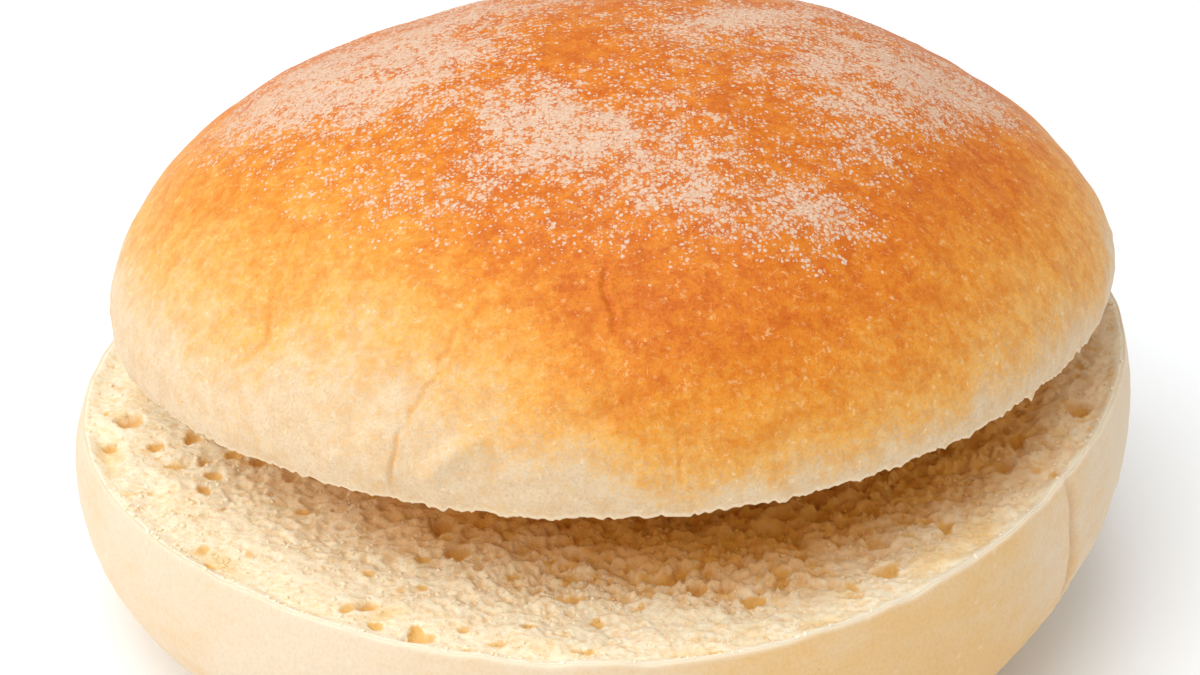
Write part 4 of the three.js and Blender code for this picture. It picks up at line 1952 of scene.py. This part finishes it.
@dataclass(frozen=True)
class Scatter:
    """Small lumps strewn over a piece by Geometry Nodes, made one plain mesh.

    Attributes:
        name: Name of the piece.
        mark: Vertex mark that says where the lumps lie.
        density: Lumps in a square millimetre where the mark is 1.
        smallest: Radius of the smallest lump, in millimetres.
        largest: Radius of the largest.
        flatness: Height of a lump as a share of its width.
        power: Power that the mark is raised to.
        seed: Picks the places.
    """

    name: str
    mark: str
    density: float
    smallest: float
    largest: float
    flatness: float
    power: float
    seed: int

    def grow(self, ground: bpy.types.Object, material: bpy.types.Material) -> bpy.types.Object:
        """Strews the lumps.

        Args:
            ground: The piece that they lie on.
            material: Their material.

        Returns:
            The new piece.
        """
        group = bpy.data.node_groups.new(self.name, "GeometryNodeTree")
        inputs = {}
        for label, kind, value in (
            ("Ground", "NodeSocketObject", ground),
            ("Density", "NodeSocketFloat", self.density / MM**2),
            ("Smallest", "NodeSocketFloat", self.smallest * MM),
            ("Largest", "NodeSocketFloat", self.largest * MM),
            ("Seed", "NodeSocketInt", self.seed),
        ):
            item = group.interface.new_socket(name=label, in_out="INPUT", socket_type=kind)
            inputs[label] = (item.identifier, value)
        kind = "NodeSocketGeometry"
        result = group.interface.new_socket(name="Geometry", in_out="OUTPUT", socket_type=kind)
        tree = Tree(group)

        def given(label: str) -> Wire:
            """Returns one of the modifier's inputs."""
            return tree.node("NodeGroupInput", output=inputs[label][0])

        surface = tree.node("GeometryNodeObjectInfo", None, {"Object": given("Ground")}, "Geometry")
        mark = tree.node("GeometryNodeInputNamedAttribute", None, {"Name": self.mark}, "Attribute")
        density = mark**self.power * given("Density")
        sockets = {"Mesh": surface, "Density": density, "Seed": given("Seed")}
        strewn = tree.node("GeometryNodeDistributePointsOnFaces", None, sockets, "Points").socket.node
        points, normal = (Wire(tree, s) for s in strewn.outputs if s.identifier in ("Points", "Normal"))
        lump = tree.node("GeometryNodeMeshIcoSphere", None, {"Radius": 1.0, "Subdivisions": 1}, "Mesh")
        uneven = tree.node("ShaderNodeTexNoise", None, {"Scale": 1.1}, "Color")
        shift = {"Vector": uneven, "Vector_001": (0.5, 0.5, 0.5)}
        shift = tree.node("ShaderNodeVectorMath", {"operation": "SUBTRACT"}, shift)
        lump = tree.node("GeometryNodeSetPosition", None, {"Geometry": lump, "Offset": shift})
        draw = tree.node("FunctionNodeRandomValue", None, {"Seed": 3}, "Value_001")
        size = given("Smallest") + (given("Largest") - given("Smallest")) * draw**2.2
        parts = {"X": size, "Y": size * 0.8, "Z": size * self.flatness}
        scale = tree.node("ShaderNodeCombineXYZ", None, parts)
        stand = tree.node("FunctionNodeAlignRotationToVector", {"axis": "Z"}, {"Vector": normal})
        whole_turn = {"Min_001": 0, "Max_001": 6.28, "Seed": 5}
        twist = tree.node("FunctionNodeRandomValue", None, whole_turn, "Value_001")
        twist = tree.node("ShaderNodeCombineXYZ", None, {"Z": twist})
        twist = tree.node("FunctionNodeEulerToRotation", None, {"Euler": twist})
        turned = {"Rotation": stand, "Rotate By": twist}
        turned = tree.node("FunctionNodeRotateRotation", {"rotation_space": "LOCAL"}, turned)
        sockets = {"Points": points, "Instance": lump, "Rotation": turned, "Scale": scale}
        lumps = tree.node("GeometryNodeInstanceOnPoints", None, sockets)
        lumps = tree.node("GeometryNodeRealizeInstances", None, {"Geometry": lumps})
        lumps = tree.node("GeometryNodeSetMaterial", None, {"Geometry": lumps, "Material": material})
        tree.node("NodeGroupOutput", None, {result.identifier: lumps})

        carrier = add_object(self.name + "_carrier", bpy.data.meshes.new(self.name))
        modifier = carrier.modifiers.new("Scatter", "NODES")
        modifier.node_group = group
        for identifier, value in inputs.values():
            modifier[identifier] = value
        bpy.context.view_layer.update()
        whole = carrier.evaluated_get(bpy.context.evaluated_depsgraph_get())
        mesh = bpy.data.meshes.new_from_object(whole)
        mesh.name = self.name
        bpy.data.objects.remove(carrier)
        bpy.data.node_groups.remove(group)
        return add_object(self.name, mesh)


# The picture


@dataclass(frozen=True)
class Lamp:
    """A soft square lamp that points at the roll.

    Attributes:
        name: The lamp's name.
        place: Where it stands, in metres.
        size: Its side.
        power: Its power in watts.
        colour: Its colour.
    """

    name: str
    place: tuple[float, float, float]
    size: float
    power: float
    colour: tuple[float, float, float] = (1.0, 1.0, 1.0)

    def hang(self) -> None:
        """Adds the lamp to the scene."""
        light = bpy.data.lights.new(self.name, "AREA")
        light.size = self.size
        light.energy = self.power
        light.color = self.colour
        lamp = bpy.data.objects.new(self.name, light)
        lamp.location = self.place
        towards = Vector((0, 0, 0.03)) - Vector(self.place)
        lamp.rotation_euler = towards.to_track_quat("-Z", "Y").to_euler()
        bpy.context.scene.collection.objects.link(lamp)


@dataclass(frozen=True)
class Studio:
    """White floor, soft lamps and the camera of the photograph.

    Attributes:
        lens: Focal length in millimetres.
        distance: From the camera to its target, in millimetres.
        elevation: How steeply it looks down.
        target: What it looks at, in millimetres.
        lamps: The lamps.
        surround: Strength of the white surroundings.
        floor_half: Half the floor's side, in metres.
        floor_level: Height of the floor, a hair under the roll, in metres.
        floor_colour: Its colour.
    """

    lens: float = 163.79
    distance: float = 600.0
    elevation: float = 30.0
    target: tuple[float, float, float] = (-0.41, 3.91, 30.0)
    lamps: tuple[Lamp, ...] = (
        Lamp("front", (-0.4, -0.78, 0.96), 0.9, 7.0),
        Lamp("overhead", (-0.1, 0.15, 1.2), 1.0, 6.0),
        Lamp("left", (-1.0, 0.1, 0.6), 0.8, 5.0),
        Lamp("right", (1.0, -0.15, 0.6), 0.8, 1.4),
    )
    surround: float = 0.45
    floor_half: float = 4.0
    floor_level: float = -0.0002
    floor_colour: Colour = (0.955, 0.98, 1.0, 1.0)

    def set_up(self) -> None:
        """Adds the floor, the lamps, the surroundings and the camera."""
        scene = bpy.context.scene
        scene.view_settings.view_transform = "Standard"
        self.lay_floor()
        for lamp in self.lamps:
            lamp.hang()
        world = bpy.data.worlds.new("white")
        world.use_nodes = True
        world.node_tree.nodes["Background"].inputs["Color"].default_value = (1, 1, 1, 1)
        world.node_tree.nodes["Background"].inputs["Strength"].default_value = self.surround
        scene.world = world
        lens = bpy.data.cameras.new("camera")
        lens.lens = self.lens
        lens.sensor_width = 36
        camera = bpy.data.objects.new("camera", lens)
        down = radians(self.elevation)
        back = Vector((0, -cos(down), sin(down))) * self.distance
        camera.location = (Vector(self.target) + back) * MM
        camera.rotation_euler = Euler((pi / 2 - down, 0, 0))
        scene.collection.objects.link(camera)
        scene.camera = camera

    def lay_floor(self) -> None:
        """Lays the white floor that the roll stands on."""
        half, level = self.floor_half, self.floor_level
        mesh = bpy.data.meshes.new("floor")
        corners = [(-half, -half), (half, -half), (half, half), (-half, half)]
        mesh.from_pydata([(x, y, level) for x, y in corners], [], [(0, 1, 2, 3)])
        material = bpy.data.materials.new("floor")
        material.use_nodes = True
        shader = material.node_tree.nodes["Principled BSDF"]
        shader.inputs["Base Color"].default_value = self.floor_colour
        shader.inputs["Roughness"].default_value = 0.9
        shader.inputs["Specular IOR Level"].default_value = 0.1
        mesh.materials.append(material)
        add_object("floor", mesh)


@dataclass
class Roll:
    """The whole roll: both halves with their finishes, flour and crumbs.

    Attributes:
        crown: The top half.
        heel: The bottom half.
        dusting: Specks of flour on the top half.
        crumbs: Loose crumbs on the cut of the bottom half.
    """

    crown: Crown = field(default_factory=Crown)
    heel: Heel = field(default_factory=Heel)
    dusting: Scatter = Scatter("flour_specks", "flour", 4.4, 0.1, 0.27, 0.35, 1.7, 5)
    crumbs: Scatter = Scatter("loose_crumbs", "loose", 1.3, 0.12, 0.4, 0.7, 1.0, 8)

    def dress(self, mesh: bpy.types.Mesh, material: bpy.types.Material, slot: Slot) -> bpy.types.Object:
        """Gives a mesh its material and its place on the row's body.

        Args:
            mesh: The piece's mesh.
            material: Its material.
            slot: Its slot in the record.

        Returns:
            The piece.
        """
        mesh.materials.append(material)
        return self.seat(add_object(mesh.name, mesh), slot)

    @staticmethod
    def seat(piece: bpy.types.Object, slot: Slot) -> bpy.types.Object:
        """Sets a piece on the row's one body and reports it.

        Args:
            piece: The piece.
            slot: Its slot in the record; not used.

        Returns:
            The piece.
        """
        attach(piece, "root")
        log.info("%s: %d triangles", piece.name, len(piece.data.polygons))
        return piece

    def build(self) -> None:
        """Builds every piece."""
        golden, pale = GoldenCrust().make(), PaleCrust().make()
        crumb, flour = CutCrumb().make(), Flour().make()
        crust = self.dress(self.crown.build_crust(), golden, Slot.GOLDEN)
        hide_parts(Half.CROWN.value)
        self.dress(self.crown.build_crumb(), crumb, Slot.CRUMB)
        base = self.dress(self.heel.build_crust(), pale, Slot.PALE)
        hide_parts(Half.HEEL.value)
        inside = self.dress(self.heel.build_crumb(self.crown), crumb, Slot.CRUMB)
        self.seat(self.dusting.grow(crust, flour), Slot.FLOUR)
        self.seat(self.crumbs.grow(inside, CutCrumb("loose crumb", glow=0.0).make()), Slot.CRUMB)


def main() -> None:
    """Builds the roll and its picture."""
    logging.basicConfig(level=logging.INFO, format="%(message)s")
    Roll().build()
    Studio().set_up()


if __name__ == "__main__":
    main()
